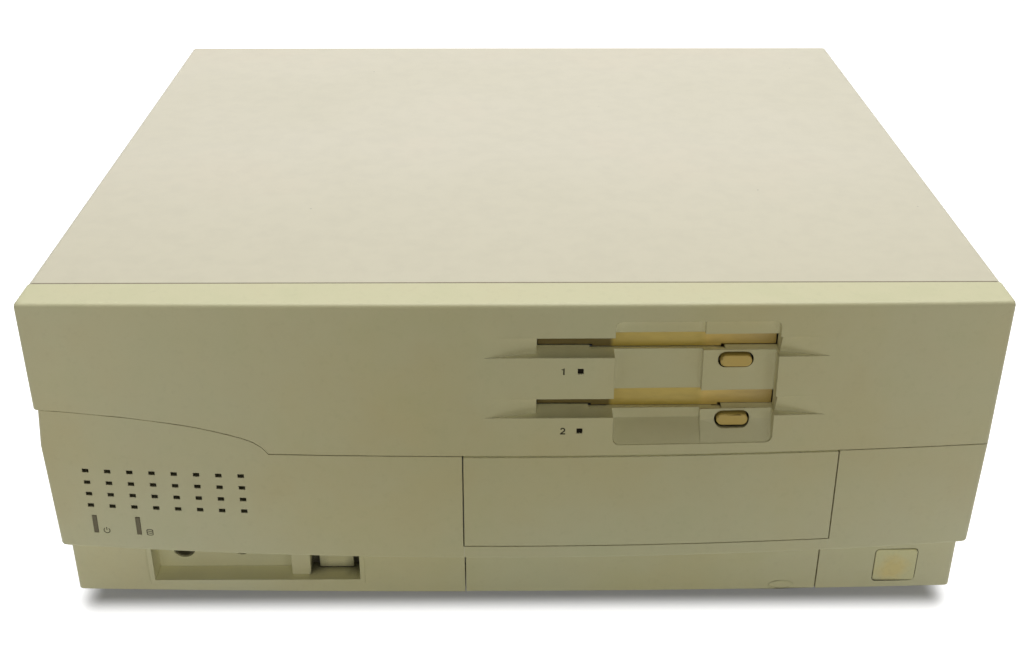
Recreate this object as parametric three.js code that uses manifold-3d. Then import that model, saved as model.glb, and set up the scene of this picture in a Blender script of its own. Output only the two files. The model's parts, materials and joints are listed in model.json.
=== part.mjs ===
// A vintage desktop home computer: the low beige system unit that a screen stands on.
// It has a bowed plastic front in two mouldings, a painted steel cover, two 3.5 inch
// floppy disk drives one above the other, and the boards and power supply inside.
// Lengths are millimetres. X is to the right seen from the front, Y to the back, Z up.
// While the parts are made, Y is 0 at the front corners of the top edge and Z is 0 at
// the surface that the feet stand on. The whole is then centred over its own footprint.
import * as THREE from 'three';
import { mergeVertices } from 'three/addons/utils/BufferGeometryUtils.js';
import Module from 'manifold-3d';

const wasm = await Module();
wasm.setup();

// Clearances shared by many parts
const fitGap = 0.3;
const seamGap = 0.4;
const overrun = 6;
const weld = 0.2;

// Number of flats that round things are drawn with
const wideSides = 32;
const roundSides = 24;
const turnedSides = 20;
const smallSides = 16;
const pinSides = 12;

// Width
const caseWidth = 382;
const lipInset = 1.5;
const flareInset = 2;
const skirtInset = 2.6;

// Height, stacked from the floor up
const skirtLift = 9.2;
const skirtHeight = 28.3;
const lipStrip = 5.8;
const bayCoverHeight = 41.9;
const bayCoverGap = 0.3;
const driveLift = 4.8;
const driveHeight = 25.2;
const driveStackGap = 0.3;
const driveHeadroom = 8.4;
const coverDrop = 0.2;

// Bow of the front seen from above, and how far its middle leans back
const bowAtTop = 1.4;
const bowAtSeam = 8.3;
const bowAtLip = 10.1;
const leanAtSeam = 0.2;
const leanAtLip = -0.9;
const flareSetback = 0.7;
const skirtBow = 3.2;
const skirtSetback = 6;
const plasticEdgeRadius = 1.8;
const lipEdgeRadius = 1.2;
const bezelCornerRadius = 2.2;

// Front mouldings
const bezelDepth = 17.3;
const bezelWall = 2.4;
const trayWall = 2;
const seamRise = 17.2;
const seamRiseLength = 93.5;
const shutterThickness = 1.2;

// Sheet metal
const coverSheet = 1.2;
const coverBendRadius = 2.4;
const coverRim = 10;
const plateSheet = 1;
const panLift = 2.2;
const panFlange = 15;
const panRearLip = 7;

// Drive bay behind the blank cover, as shares of the case's width, and the two disk drives
const bayCentreShare = 0.141623;
const bayWidthShare = 0.394241;
const driveShift = 1.1;
const driveWidth = 101;
const driveLength = 148;
const slotDepth = 10.5;
const slotRise = 11.9;
const slotHeight = 8.2;
const slotWidth = 94.6;

// Hard disk under the bay, and the room for the cable behind the longer of the disks
const hardDiskWidth = 101.6;
const hardDiskLength = 146;
const hardDiskHeight = 25.4;
const cageSetback = 0.4;
const cableRoom = 24.1;

// Power supply, with its fan and its mains connectors side by side
const psuLength = 144;
const psuSheet = 1;
const fanSize = 80;
const fanThickness = 25;
const fanRoom = 8;
const fanSide = 6;
const inletGap = 7.25;
const inletSide = 18.25;
const inletWidth = 27.5;
const inletFlange = 2;

// Main board
const boardThickness = 1.6;
const standoffHeight = 6;

// Derived heights
const lipZ = skirtLift + skirtHeight;
const bayCoverZ = lipZ + lipStrip + bayCoverGap;
const seamZ = bayCoverZ + bayCoverHeight + bayCoverGap;
const drivePitch = driveHeight + driveStackGap;
const driveZ = [seamZ + driveLift + drivePitch, seamZ + driveLift];
const caseHeight = seamZ + driveLift + 2 * drivePitch + driveHeadroom;
const coverTopZ = caseHeight - coverDrop;
const panBottomZ = skirtLift + panLift;
const panTopZ = panBottomZ + plateSheet;
const flareTopZ = seamZ + seamRise;
const boardZ = panTopZ + standoffHeight + fitGap;
const boardTopZ = boardZ + boardThickness;

// Derived widths
const halfWidth = caseWidth / 2;
const panHalf = halfWidth - coverSheet - fitGap;
const innerHalf = panHalf - plateSheet - fitGap;
const bayCentreX = caseWidth * bayCentreShare;
const bayWidth = caseWidth * bayWidthShare;
const bayLeft = bayCentreX - bayWidth / 2;
const bayRight = bayCentreX + bayWidth / 2;
const driveX = bayCentreX + driveShift;
const psuHeight = fanSize + fanRoom;
const psuWidth = fanSide + fanSize + inletGap + inletWidth + 2 * inletFlange + inletSide;
const psuRight = innerHalf - fitGap;
const psuLeft = psuRight - psuWidth;

// Share of the way between two values
function mix(from, to, share) {
  return from + (to - from) * share;
}

// Y of the bowed front surface at a place across and up
function frontY(x, z) {
  const above = (z - seamZ) / (caseHeight - seamZ);
  const below = (seamZ - z) / (seamZ - lipZ);
  const bow = z > seamZ ? mix(bowAtSeam, bowAtTop, above) : mix(bowAtSeam, bowAtLip, below);
  const lean = z > seamZ ? mix(leanAtSeam, 0, above) : mix(leanAtSeam, leanAtLip, below);
  return lean - bow * (1 - (x / halfWidth) ** 2);
}

// Y of the set back skirt under the lip
function skirtY(x) {
  return skirtSetback - skirtBow * (1 - (x / halfWidth) ** 2);
}

// Derived depths, stacked from the front to the back
const slotZ = driveZ.map((z) => z + slotRise);
const driveFaceY = slotZ.map((z) => frontY(driveX, z + slotHeight / 2) + slotDepth);
const frameY = driveFaceY.map((y) => y + shutterThickness + fitGap);
const plateY = bezelDepth + seamGap + plateSheet / 2;
const cageY = plateY + plateSheet + cageSetback;
const driveRearY = frameY[0] + driveLength;
const disksRearY = Math.max(driveRearY, cageY + fitGap + hardDiskLength);
const psuY = disksRearY + cableRoom;
const psuRearY = psuY + psuLength;
const panLipY = psuRearY + fitGap;
const panelY = panLipY + plateSheet + fitGap;
const rimY = panelY + plateSheet + fitGap;
const caseDepth = rimY + coverSheet;

// Turns a closed three.js geometry into a solid that can be joined and cut
function toSolid(geometry) {
  const bare = geometry.clone();
  bare.deleteAttribute('normal');
  bare.deleteAttribute('uv');
  const merged = mergeVertices(bare);
  const vertProperties = new Float32Array(merged.attributes.position.array);
  const triVerts = new Uint32Array(merged.index.array);
  return new wasm.Manifold(new wasm.Mesh({ numProp: 3, vertProperties, triVerts }));
}

// Turns a solid back into a three.js geometry
function toGeometry(solid) {
  const mesh = solid.getMesh();
  const geometry = new THREE.BufferGeometry();
  geometry.setAttribute('position', new THREE.BufferAttribute(mesh.vertProperties, 3));
  geometry.setIndex(new THREE.BufferAttribute(mesh.triVerts, 1));
  const faceted = geometry.toNonIndexed();
  faceted.computeVertexNormals();
  return faceted;
}

function join(solids) {
  return solids.reduce((all, next) => all.add(next));
}

function cut(solid, cutters) {
  return cutters.reduce((rest, next) => rest.subtract(next), solid);
}

// Box between two corners
function block(x0, x1, y0, y1, z0, z1) {
  const box = new THREE.BoxGeometry(x1 - x0, y1 - y0, z1 - z0);
  box.translate((x0 + x1) / 2, (y0 + y1) / 2, (z0 + z1) / 2);
  return toSolid(box);
}

// Outlines are lists of [a, b] points, anticlockwise
function rectangle(a0, a1, b0, b1) {
  return [[a0, b0], [a1, b0], [a1, b1], [a0, b1]];
}

function arcPoints(a, b, radius, from, to, steps) {
  const points = [];
  for (let i = 0; i <= steps; i += 1) {
    const angle = mix(from, to, i / steps);
    points.push([a + radius * Math.cos(angle), b + radius * Math.sin(angle)]);
  }
  return points;
}

function roundedRectangle(a0, a1, b0, b1, radius, steps = 3) {
  const quarter = Math.PI / 2;
  return [
    ...arcPoints(a1 - radius, b0 + radius, radius, -quarter, 0, steps),
    ...arcPoints(a1 - radius, b1 - radius, radius, 0, quarter, steps),
    ...arcPoints(a0 + radius, b1 - radius, radius, quarter, 2 * quarter, steps),
    ...arcPoints(a0 + radius, b0 + radius, radius, 2 * quarter, 3 * quarter, steps),
  ];
}

function circle(a, b, radius, sides) {
  return arcPoints(a, b, radius, 0, 2 * Math.PI, sides).slice(0, sides);
}

// Share of the half height that rounds each end of a long rounded outline
const roundShare = 0.97;

function stadium(a, b, width, height, steps = 6) {
  return roundedRectangle(a - width / 2, a + width / 2, b - height / 2, b + height / 2,
    roundShare * height / 2, steps);
}

function extrude(points, depth) {
  const shape = new THREE.Shape(points.map(([a, b]) => new THREE.Vector2(a, b)));
  return new THREE.ExtrudeGeometry(shape, { depth, bevelEnabled: false, steps: 1 });
}

// An outline in X and Y carried up from z0 to z1
function prismZ(points, z0, z1) {
  return toSolid(extrude(points, z1 - z0).translate(0, 0, z0));
}

// An outline in X and Z carried back from y0 to y1
function prismY(points, y0, y1) {
  const turn = new THREE.Matrix4().makeBasis(
    new THREE.Vector3(1, 0, 0), new THREE.Vector3(0, 0, 1), new THREE.Vector3(0, -1, 0));
  return toSolid(extrude(points, y1 - y0).applyMatrix4(turn).translate(0, y1, 0));
}

// An outline in Y and Z carried across from x0 to x1
function prismX(points, x0, x1) {
  const turn = new THREE.Matrix4().makeBasis(
    new THREE.Vector3(0, 1, 0), new THREE.Vector3(0, 0, 1), new THREE.Vector3(1, 0, 0));
  return toSolid(extrude(points, x1 - x0).applyMatrix4(turn).translate(x0, 0, 0));
}

// Rows of level outlines, lowest first, skinned into one closed solid
function loft(rows) {
  const count = rows[0].length;
  const positions = rows.flat().flat();
  const faces = [];
  rows.slice(1).forEach((row, i) => {
    const low = i * count;
    const high = low + count;
    for (let j = 0; j < count; j += 1) {
      const k = (j + 1) % count;
      faces.push(low + j, low + k, high + k, low + j, high + k, high + j);
    }
  });
  const top = (rows.length - 1) * count;
  for (let j = 1; j < count - 1; j += 1) {
    faces.push(0, j + 1, j, top, top + j, top + j + 1);
  }
  const geometry = new THREE.BufferGeometry();
  geometry.setAttribute('position', new THREE.Float32BufferAttribute(positions, 3));
  geometry.setIndex(faces);
  return toSolid(geometry);
}

// One row of a front moulding: back corners square, front corners round, front bowed
const bowSteps = 16;
const cornerSteps = 3;

function frontRow(z, half, surface, inset, backY, cornerRadius) {
  const reach = half - inset;
  const points = [[-reach, backY, z]];
  const cornerY = surface(reach - cornerRadius) + inset + cornerRadius;
  arcPoints(-reach + cornerRadius, cornerY, cornerRadius, Math.PI, 1.5 * Math.PI, cornerSteps)
    .slice(0, cornerSteps).forEach(([x, y]) => points.push([x, y, z]));
  for (let i = 0; i <= bowSteps; i += 1) {
    const x = mix(cornerRadius - reach, reach - cornerRadius, i / bowSteps);
    points.push([x, surface(x) + inset, z]);
  }
  arcPoints(reach - cornerRadius, cornerY, cornerRadius, 1.5 * Math.PI, 2 * Math.PI, cornerSteps)
    .slice(1).forEach(([x, y]) => points.push([x, y, z]));
  points.push([reach, backY, z]);
  return points;
}

// Rows that round an edge off: how far back from the flat face, and how far drawn in
const edgeSteps = 3;

function roundRows(radius) {
  const rows = [];
  for (let i = 0; i <= edgeSteps; i += 1) {
    const angle = (i / edgeSteps) * (Math.PI / 2);
    rows.push({ back: radius * (1 - Math.sin(angle)), inset: radius * (1 - Math.cos(angle)) });
  }
  return rows;
}

// Solid block behind the upper moulding's skin, drawn in by a wall
function upperBlock(wall, backY) {
  const corner = Math.max(bezelCornerRadius - wall, fitGap);
  const level = (z, inset) => frontRow(z, halfWidth, (x) => frontY(x, z), inset, backY, corner);
  const edge = wall > 0 ? [{ back: wall, inset: wall }] : roundRows(plasticEdgeRadius);
  return loft([
    level(seamZ, wall),
    ...edge.map(({ back, inset }) => level(caseHeight - back, inset)),
  ]);
}

// Solid block behind the lower moulding's skin, from the lip up past the seam
function lowerBlock(wall, backY) {
  const corner = Math.max(bezelCornerRadius - wall, fitGap);
  const level = (z, half, surfaceZ, setback, inset) =>
    frontRow(z, half, (x) => frontY(x, surfaceZ) + setback, inset, backY, corner);
  const edge = wall > 0 ? [{ back: wall, inset: wall }] : roundRows(lipEdgeRadius).reverse();
  return loft([
    ...edge.map(({ back, inset }) => level(lipZ + back, halfWidth - lipInset, lipZ + back, 0, inset)),
    level(seamZ, halfWidth, seamZ, 0, wall),
    level(flareTopZ + overrun, halfWidth - flareInset, flareTopZ, flareSetback, wall),
  ]);
}

// Solid block behind the skirt's skin
function skirtBlock(wall, backY, z0, z1) {
  const corner = Math.max(bezelCornerRadius - wall, fitGap);
  const half = halfWidth - skirtInset;
  return loft([
    frontRow(z0, half, skirtY, wall, backY, corner),
    frontRow(z1, half, skirtY, wall, backY, corner),
  ]);
}

// Height of the seam between the two mouldings, as shares of its run and of its rise
const seamShares = [
  [0, 0], [0.014, 0.095], [0.032, 0.195], [0.065, 0.305], [0.105, 0.39], [0.16, 0.475], [0.23, 0.57],
  [0.3, 0.65], [0.37, 0.71], [0.455, 0.775], [0.59, 0.855], [0.73, 0.92], [0.87, 0.965], [1, 1],
];
const seamSide = 1;

function seamLine(offset) {
  const startX = seamRiseLength - halfWidth - seamSide;
  return seamShares.map(([run, rise]) =>
    [startX - run * seamRiseLength, seamZ + rise * seamRise + offset]).reverse();
}

// Everything above or below the seam, as thick slabs that the mouldings are cut by
function aboveSeam(offset) {
  const line = seamLine(offset);
  const far = halfWidth + overrun;
  const top = caseHeight + overrun;
  const points = [[-far, line[0][1]], ...line, [far, seamZ + offset], [far, top], [-far, top]];
  return prismY(points, -halfWidth, halfWidth);
}

function belowSeam(offset) {
  const line = seamLine(offset).reverse();
  const far = halfWidth + overrun;
  const points = [[-far, -overrun], [far, -overrun], [far, seamZ + offset], ...line,
    [-far, line[line.length - 1][1]]];
  return prismY(points, -halfWidth, halfWidth);
}

// A cutter that sinks into the bowed front: rows give a height and the depth at each end
function sunkCutter(x0, x1, rows) {
  const reach = bowAtLip + overrun;
  return loft(rows.map(([z, depth0, depth1]) => [
    [x0, -reach, z], [x1, -reach, z],
    [x1, frontY(x1, z) + depth1, z], [x0, frontY(x0, z) + depth0, z],
  ]));
}

// Recess around the two disk slots, measured from the drives' middle
const recessLeft = -17.2;
const recessRight = 46.3;
const recessStep = 17.8;
const recessAbove = 6.7;
const recessBelow = 0.1;
const recessCorner = 2.6;
const scoopDepth = 8;
const panelDepth = 5.7;
const scoopDepthAbove = 4.9;
const panelDepthAbove = 3;
const rampHeight = 7.5;
const rampStart = 0.5;
const notchWidth = 53;
const notchDrop = 0.9;
const notchStart = 5;
const grooveRunLeft = 22;
const grooveRunRight = 20;
const grooveDepthTop = 1;
const grooveDepthBottom = 4;
const grooveFade = 0.25;
const ejectX = 30.65;
const ejectRise = 7.7;
const ejectWidth = 14;
const ejectHeight = 6.6;
const ejectGap = 0.8;
const lampX = -30.3;
const lampRise = 6.3;
const lampSize = 2.3;

function recessCutters() {
  const left = driveX + recessLeft;
  const step = driveX + recessStep;
  const right = driveX + recessRight;
  const bottom = driveZ[1] - recessBelow;
  const rampTop = bottom + rampHeight;
  const roof = slotZ[0] + slotHeight;
  const top = roof + recessAbove;
  const outline = roundedRectangle(left, right, bottom, top, recessCorner);
  const mask = prismY(outline, -halfWidth, halfWidth);
  const sunk = (x0, x1, depth, depthAbove) => [
    sunkCutter(x0, x1, [[bottom, rampStart, rampStart], [rampTop, depth, depth], [roof, depth, depth]]),
    sunkCutter(x0, x1, [[roof - weld, depthAbove, depthAbove], [top, depthAbove, depthAbove]]),
  ];
  return [
    ...sunk(left, step, scoopDepth, scoopDepthAbove),
    ...sunk(step - weld, right, panelDepth, panelDepthAbove),
  ].map((cutter) => cutter.intersect(mask));
}

function slotCutters(index) {
  const z0 = slotZ[index];
  const z1 = z0 + slotHeight;
  const left = driveX - slotWidth / 2;
  const right = driveX + slotWidth / 2;
  const through = bezelDepth + overrun;
  const reach = -bowAtLip - overrun;
  const faceY = driveFaceY[index];
  const notch = [
    [faceY - slotDepth + notchStart, z0 + weld], [faceY, z0 - notchDrop], [through, z0 - notchDrop],
    [through, z0 + weld],
  ];
  return [
    block(left, right, reach, through, z0, z1),
    prismX(notch, driveX - notchWidth / 2, driveX + notchWidth / 2),
    sunkCutter(left - grooveRunLeft, left + weld,
      [[z0, -grooveFade, grooveDepthBottom], [z1, -grooveFade, grooveDepthTop]]),
    sunkCutter(right - weld, right + grooveRunRight,
      [[z0, grooveDepthBottom, -grooveFade], [z1, grooveDepthTop, -grooveFade]]),
  ];
}

// Walls that stand behind the skin around the recess, the slots and their grooves
function slotTrays() {
  const left = driveX + recessLeft - trayWall;
  const right = driveX + recessRight + trayWall;
  const mouthLeft = driveX - slotWidth / 2;
  const mouthRight = driveX + slotWidth / 2;
  const front = -bowAtLip;
  const bottom = driveZ[1] - recessBelow - trayWall;
  const top = slotZ[0] + slotHeight + recessAbove + trayWall;
  const trays = [block(left, right, front, frontY(right, slotZ[1]) + scoopDepth + trayWall, bottom, top)];
  slotZ.forEach((z, index) => {
    const z0 = z - notchDrop - trayWall;
    const z1 = z + slotHeight + trayWall;
    const grooveY = frontY(mouthLeft, z) + grooveDepthBottom + trayWall;
    const mouthY = driveFaceY[index] - fitGap;
    trays.push(block(mouthLeft - trayWall, mouthRight + trayWall, front, mouthY, z0, z1));
    trays.push(block(mouthLeft - grooveRunLeft, mouthLeft, front, grooveY, z0, z1));
    trays.push(block(mouthRight, mouthRight + grooveRunRight, front, grooveY, z0, z1));
  });
  return join(trays);
}

// Upper front moulding, with its top strip
function makeUpperBezel() {
  const outer = upperBlock(0, bezelDepth).intersect(aboveSeam(seamGap / 2));
  const hollow = upperBlock(bezelWall, bezelDepth + overrun).intersect(aboveSeam(seamGap / 2 + bezelWall));
  const shell = outer.subtract(hollow).add(slotTrays().intersect(outer));
  const cutters = [...recessCutters(), ...slotCutters(0), ...slotCutters(1)];
  const through = bezelDepth + overrun;
  driveZ.forEach((z) => {
    const eject = stadium(driveX + ejectX, z + ejectRise, ejectWidth, ejectHeight);
    const x = driveX + lampX;
    const lampZ = z + lampRise;
    cutters.push(prismY(eject, -bowAtLip - overrun, through));
    cutters.push(block(x - lampSize / 2, x + lampSize / 2, -bowAtLip - overrun, through,
      lampZ - lampSize / 2, lampZ + lampSize / 2));
  });
  return cut(shell, cutters);
}

// Sound slits and light bars at the left of the lower moulding, from its left edge
const slitColumns = 8;
const slitRows = 4;
const slitPitchX = 9.06;
const slitPitchZ = 5.55;
const slitWidth = 2.6;
const slitHeight = 1.7;
const slitStart = 17.15;
const slitDrop = 10.45;
const lightWidth = 1.7;
const lightHeight = 8.4;
const lightRise = 7.8;
const lightStart = [17.8, 35.85];
const lightDepth = 9;
const lightGap = 0.15;

function slitCutters() {
  const cutters = [];
  for (let column = 0; column < slitColumns; column += 1) {
    for (let row = 0; row < slitRows; row += 1) {
      const x = slitStart - halfWidth + column * slitPitchX;
      const z = seamZ - slitDrop - row * slitPitchZ;
      cutters.push(block(x - slitWidth / 2, x + slitWidth / 2, -bowAtLip - overrun, skirtSetback + overrun,
        z - slitHeight / 2, z + slitHeight / 2));
    }
  }
  return cutters;
}

function lightOutline(index, grow) {
  const x = lightStart[index] - halfWidth;
  const z0 = lipZ + lightRise;
  return [x - lightWidth / 2 - grow, x + lightWidth / 2 + grow, z0 - grow, z0 + lightHeight + grow];
}

// Port recess and reset pocket in the left of the skirt, and the power button's hole
const portStart = 37.1;
const portLength = 58.1;
const pillarWidth = 8;
const pocketLength = 21.5;
const portFloorRise = 6.75;
const portRoof = 2.5;
const portDepth = 8.5;
const pillarDepth = 2.5;
const keyboardX = 11.25;
const keyboardHole = 4.8;
const jackX = 35.95;
const jackHole = 3.6;
const resetWidth = 14.8;
const resetHeight = 7;
const resetRise = 0.4;
const resetSetback = 7;
const resetCap = 2.2;
const resetTravel = 1.5;
const resetStemWidth = 6;
const resetStemHeight = 4;
const powerEdge = 19;
const powerWidth = 18;
const powerHeight = 16.6;
const powerRise = 3.3;
const powerCorner = 2;

const pocketDepth = resetSetback + resetCap + resetTravel + fitGap;
const portX = portStart - halfWidth;
const pillarX = portX + portLength;
const pocketX = pillarX + pillarWidth;
const pocketEndX = pocketX + pocketLength;
const portZ = skirtLift + portFloorRise;
const portTopZ = lipZ - portRoof;
const socketZ = (portZ + portTopZ) / 2;
const resetX = (pocketX + pocketEndX) / 2;
const resetZ = portZ + resetRise;
const powerX = halfWidth - powerEdge - powerWidth;
const powerZ = skirtLift + powerRise;

// Y of a depth behind the skirt's face, taken half way along the port recess
function portY(depth) {
  return (skirtY(portX) + skirtY(pocketEndX)) / 2 + depth;
}

function portTray() {
  const front = skirtY(0);
  return join([
    block(portX - trayWall, pocketEndX + trayWall, front, portY(portDepth) + trayWall,
      portZ - trayWall, portTopZ + trayWall),
    block(pocketX - trayWall, pocketEndX + trayWall, front, portY(pocketDepth) + trayWall,
      portZ - trayWall, portTopZ + trayWall),
  ]);
}

function portCutters() {
  const reach = -overrun;
  const far = bezelDepth + overrun;
  const stemX = resetX;
  const stemZ = resetZ + resetHeight / 2;
  return [
    block(portX, pillarX, reach, portY(portDepth), portZ, portTopZ),
    block(portX, pocketEndX, reach, portY(pillarDepth), portZ, portTopZ),
    block(pocketX, pocketEndX, reach, portY(pocketDepth), portZ, portTopZ),
    prismY(circle(portX + keyboardX, socketZ, keyboardHole, roundSides), reach, far),
    prismY(circle(portX + jackX, socketZ, jackHole, smallSides), reach, far),
    block(stemX - resetStemWidth / 2, stemX + resetStemWidth / 2, reach, far,
      stemZ - resetStemHeight / 2, stemZ + resetStemHeight / 2),
  ];
}

// Lower front moulding: speaker panel, lip and the skirt below it
function makeLowerBezel() {
  const outer = lowerBlock(0, bezelDepth).intersect(belowSeam(-seamGap / 2));
  const hollow = lowerBlock(bezelWall, bezelDepth + overrun)
    .intersect(belowSeam(-seamGap / 2 - bezelWall));
  const skirtTopZ = lipZ + bezelWall;
  const skirt = skirtBlock(0, bezelDepth, skirtLift, skirtTopZ);
  const skirtHollow = skirtBlock(bezelWall, bezelDepth + overrun, skirtLift + bezelWall, skirtTopZ + weld);
  const body = cut(outer.add(skirt), [hollow, skirtHollow]).add(portTray());
  const reach = -bowAtLip - overrun;
  const far = bezelDepth + overrun;
  const bayOpening = block(bayLeft - bayCoverGap, bayRight + bayCoverGap, reach, far,
    lipZ + lipStrip, flareTopZ);
  const skirtOpening = block(bayLeft - bayCoverGap, bayRight + bayCoverGap, reach, far,
    -overrun, lipZ - seamGap);
  const skirtSlot = block(bayLeft - bayCoverGap, bayRight + bayCoverGap, skirtY(0) - weld, far,
    -overrun, lipZ);
  const powerHole = prismY(roundedRectangle(powerX - fitGap, powerX + powerWidth + fitGap,
    powerZ - fitGap, powerZ + powerHeight + fitGap, powerCorner), reach, far);
  const lights = lightStart.map((start, index) => {
    const [x0, x1, z0, z1] = lightOutline(index, lightGap);
    return block(x0, x1, reach, far, z0, z1);
  });
  return cut(body, [bayOpening, skirtOpening, skirtSlot, powerHole,
    ...slitCutters(), ...portCutters(), ...lights]);
}

// Blank cover of the drive bay
const coverReveal = 3;
const bayCoverDepth = bezelDepth - coverReveal;

function makeBayCover() {
  const x0 = bayLeft + bayCoverGap / 2;
  const x1 = bayRight - bayCoverGap / 2;
  const z0 = bayCoverZ;
  const z1 = bayCoverZ + bayCoverHeight - bayCoverGap;
  const wall = bezelWall;
  const reach = -bowAtLip - overrun;
  const outer = lowerBlock(0, bayCoverDepth).intersect(block(x0, x1, reach, bayCoverDepth, z0, z1));
  const inner = lowerBlock(wall, bayCoverDepth + overrun)
    .intersect(block(x0 + wall, x1 - wall, reach, bayCoverDepth + overrun, z0 + wall, z1 - wall));
  return outer.subtract(inner);
}

// Removable middle cover of the skirt, with a thumb scoop at its lower edge
const thumbWidth = 11;
const thumbHeight = 4.4;
const thumbDepth = 1.3;
const thumbEdge = 14.6;
const skirtCoverDepth = bezelDepth - coverReveal;

function makeSkirtCover() {
  const x0 = bayLeft + bayCoverGap / 2;
  const x1 = bayRight - bayCoverGap / 2;
  const z1 = lipZ - seamGap;
  const wall = bezelWall;
  const outer = skirtBlock(0, skirtCoverDepth, skirtLift, z1)
    .intersect(block(x0, x1, 0, skirtCoverDepth, skirtLift, z1));
  const inner = skirtBlock(wall, skirtCoverDepth + overrun, skirtLift, z1)
    .intersect(block(x0 + wall, x1 - wall, 0, skirtCoverDepth + overrun, skirtLift + wall, z1 - wall));
  const x = x1 - thumbEdge;
  const scoop = new THREE.SphereGeometry(thumbWidth / 2, smallSides, smallSides / 2)
    .scale(1, 2 * thumbDepth / thumbWidth, thumbHeight / thumbWidth)
    .translate(x, skirtY(x), skirtLift + thumbHeight / 2);
  return cut(outer, [inner, toSolid(scoop)]);
}

// Power button cap with a stem behind it that reaches through the front plate
const capDepth = 9;
const powerTravel = 3;
const stemSize = 5;
const powerProud = 0.4;

const stemEndY = plateY + plateSheet + fitGap;

function makePowerButton() {
  const front = skirtY(powerX + powerWidth / 2) - powerProud;
  const cap = prismY(roundedRectangle(powerX, powerX + powerWidth, powerZ, powerZ + powerHeight,
    powerCorner - fitGap), front, front + capDepth);
  const x = powerX + powerWidth / 2;
  const z = powerZ + powerHeight / 2;
  const half = stemSize / 2;
  const stem = block(x - half, x + half, front + capDepth - weld, stemEndY, z - half, z + half);
  return cap.add(stem);
}

// Latching mains switch body behind the power button, standing on the pan
const powerSwitchLength = 22;
const powerSwitchWidth = 15;
const powerSwitchHeight = 15.5;

function makePowerSwitch() {
  const x = powerX + powerWidth / 2;
  const y0 = stemEndY + powerTravel + fitGap;
  const y1 = y0 + powerSwitchLength;
  const z0 = panTopZ + fitGap;
  const z = powerZ + powerHeight / 2;
  const half = powerSwitchWidth / 2;
  const lug = stemSize / 2;
  const body = block(x - half, x + half, y0, y1, z0, z0 + powerSwitchHeight);
  return body.add(block(x - lug, x + lug, y1 - weld, y1 + stemSize, z - lug, z + lug));
}

// Reset button, set deep in its pocket
const resetCorner = 0.6;
const resetSwitchDepth = 3.2;
const resetSwitchSize = 6;
const frontBoardSetback = 10;

const frontBoardY = plateY + frontBoardSetback;

function makeResetButton() {
  const y = portY(resetSetback);
  const z = resetZ + resetHeight / 2;
  const cap = prismY(roundedRectangle(resetX - resetWidth / 2, resetX + resetWidth / 2,
    resetZ, resetZ + resetHeight, resetCorner, 2), y, y + resetCap);
  const half = resetStemWidth / 2 - fitGap;
  const rise = resetStemHeight / 2 - fitGap;
  const end = frontBoardY - resetSwitchDepth - resetTravel - fitGap;
  return cap.add(block(resetX - half, resetX + half, y + resetCap - weld, end, z - rise, z + rise));
}

// Small board behind the front with the reset switch and the light emitters
const frontBoardMargin = 3;

function makeFrontBoard() {
  const x0 = portX - frontBoardMargin;
  const x1 = pocketEndX + frontBoardMargin;
  const z0 = panTopZ + fitGap;
  const z1 = portTopZ + fitGap;
  const switchZ = resetZ + resetHeight / 2;
  const half = resetSwitchSize / 2;
  return join([
    block(x0, x1, frontBoardY, frontBoardY + boardThickness, z0, z1),
    block(resetX - half, resetX + half, frontBoardY - resetSwitchDepth, frontBoardY + weld,
      switchZ - half, switchZ + half),
    block(x0 + portLength / 2, x0 + portLength, frontBoardY + boardThickness - weld,
      frontBoardY + boardThickness + half, z0 + half, z0 + half + resetSwitchSize),
  ]);
}

// Round keyboard socket
const socketRadius = 4.4;
const socketBore = 3.9;
const socketBoreDepth = 6.5;
const socketBody = 13.5;

function makeKeyboardSocket() {
  const x = portX + keyboardX;
  const z = socketZ;
  const y0 = portY(portDepth) + fitGap;
  const y1 = frontBoardY - fitGap;
  const bodyY = portY(portDepth) + trayWall + fitGap;
  const nose = prismY(circle(x, z, socketRadius, roundSides), y0, bodyY + weld);
  const half = socketBody / 2;
  const body = block(x - half, x + half, bodyY, y1, z - half, z + half);
  const bore = prismY(circle(x, z, socketBore, roundSides), y0 - overrun, y0 + socketBoreDepth);
  return nose.add(body).subtract(bore);
}

// Headphone jack
const jackNose = 3.3;
const jackBore = 1.8;
const jackBody = 10;

function makeHeadphoneJack() {
  const x = portX + jackX;
  const z = socketZ;
  const y0 = portY(portDepth) + fitGap;
  const bodyY = portY(portDepth) + trayWall + fitGap;
  const y1 = frontBoardY - fitGap;
  const half = jackBody / 2;
  const nose = prismY(circle(x, z, jackNose, smallSides), y0, bodyY + weld);
  const body = block(x - half, x + half, bodyY, y1, z - half, z + half);
  const bore = prismY(circle(x, z, jackBore, pinSides), y0 - overrun, y1 - jackBore);
  return nose.add(body).subtract(bore);
}

function makeLightBar(index) {
  const [x0, x1, z0, z1] = lightOutline(index, 0);
  const y = frontY((x0 + x1) / 2, (z0 + z1) / 2);
  return block(x0, x1, y, y + lightDepth, z0, z1);
}

// Loudspeaker behind the slits, fixed to the back of the front plate
const speakerRadius = 26;
const speakerRim = 3;
const speakerRimSheet = 1.5;
const speakerMagnet = 14;
const speakerDepth = 19;
const speakerBasket = 11;
const speakerConeDepth = 7;
const speakerDome = 6;

const speakerX = slitStart - halfWidth + (slitColumns - 1) * slitPitchX / 2;
const speakerZ = seamZ - slitDrop - (slitRows - 1) * slitPitchZ / 2;

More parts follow.
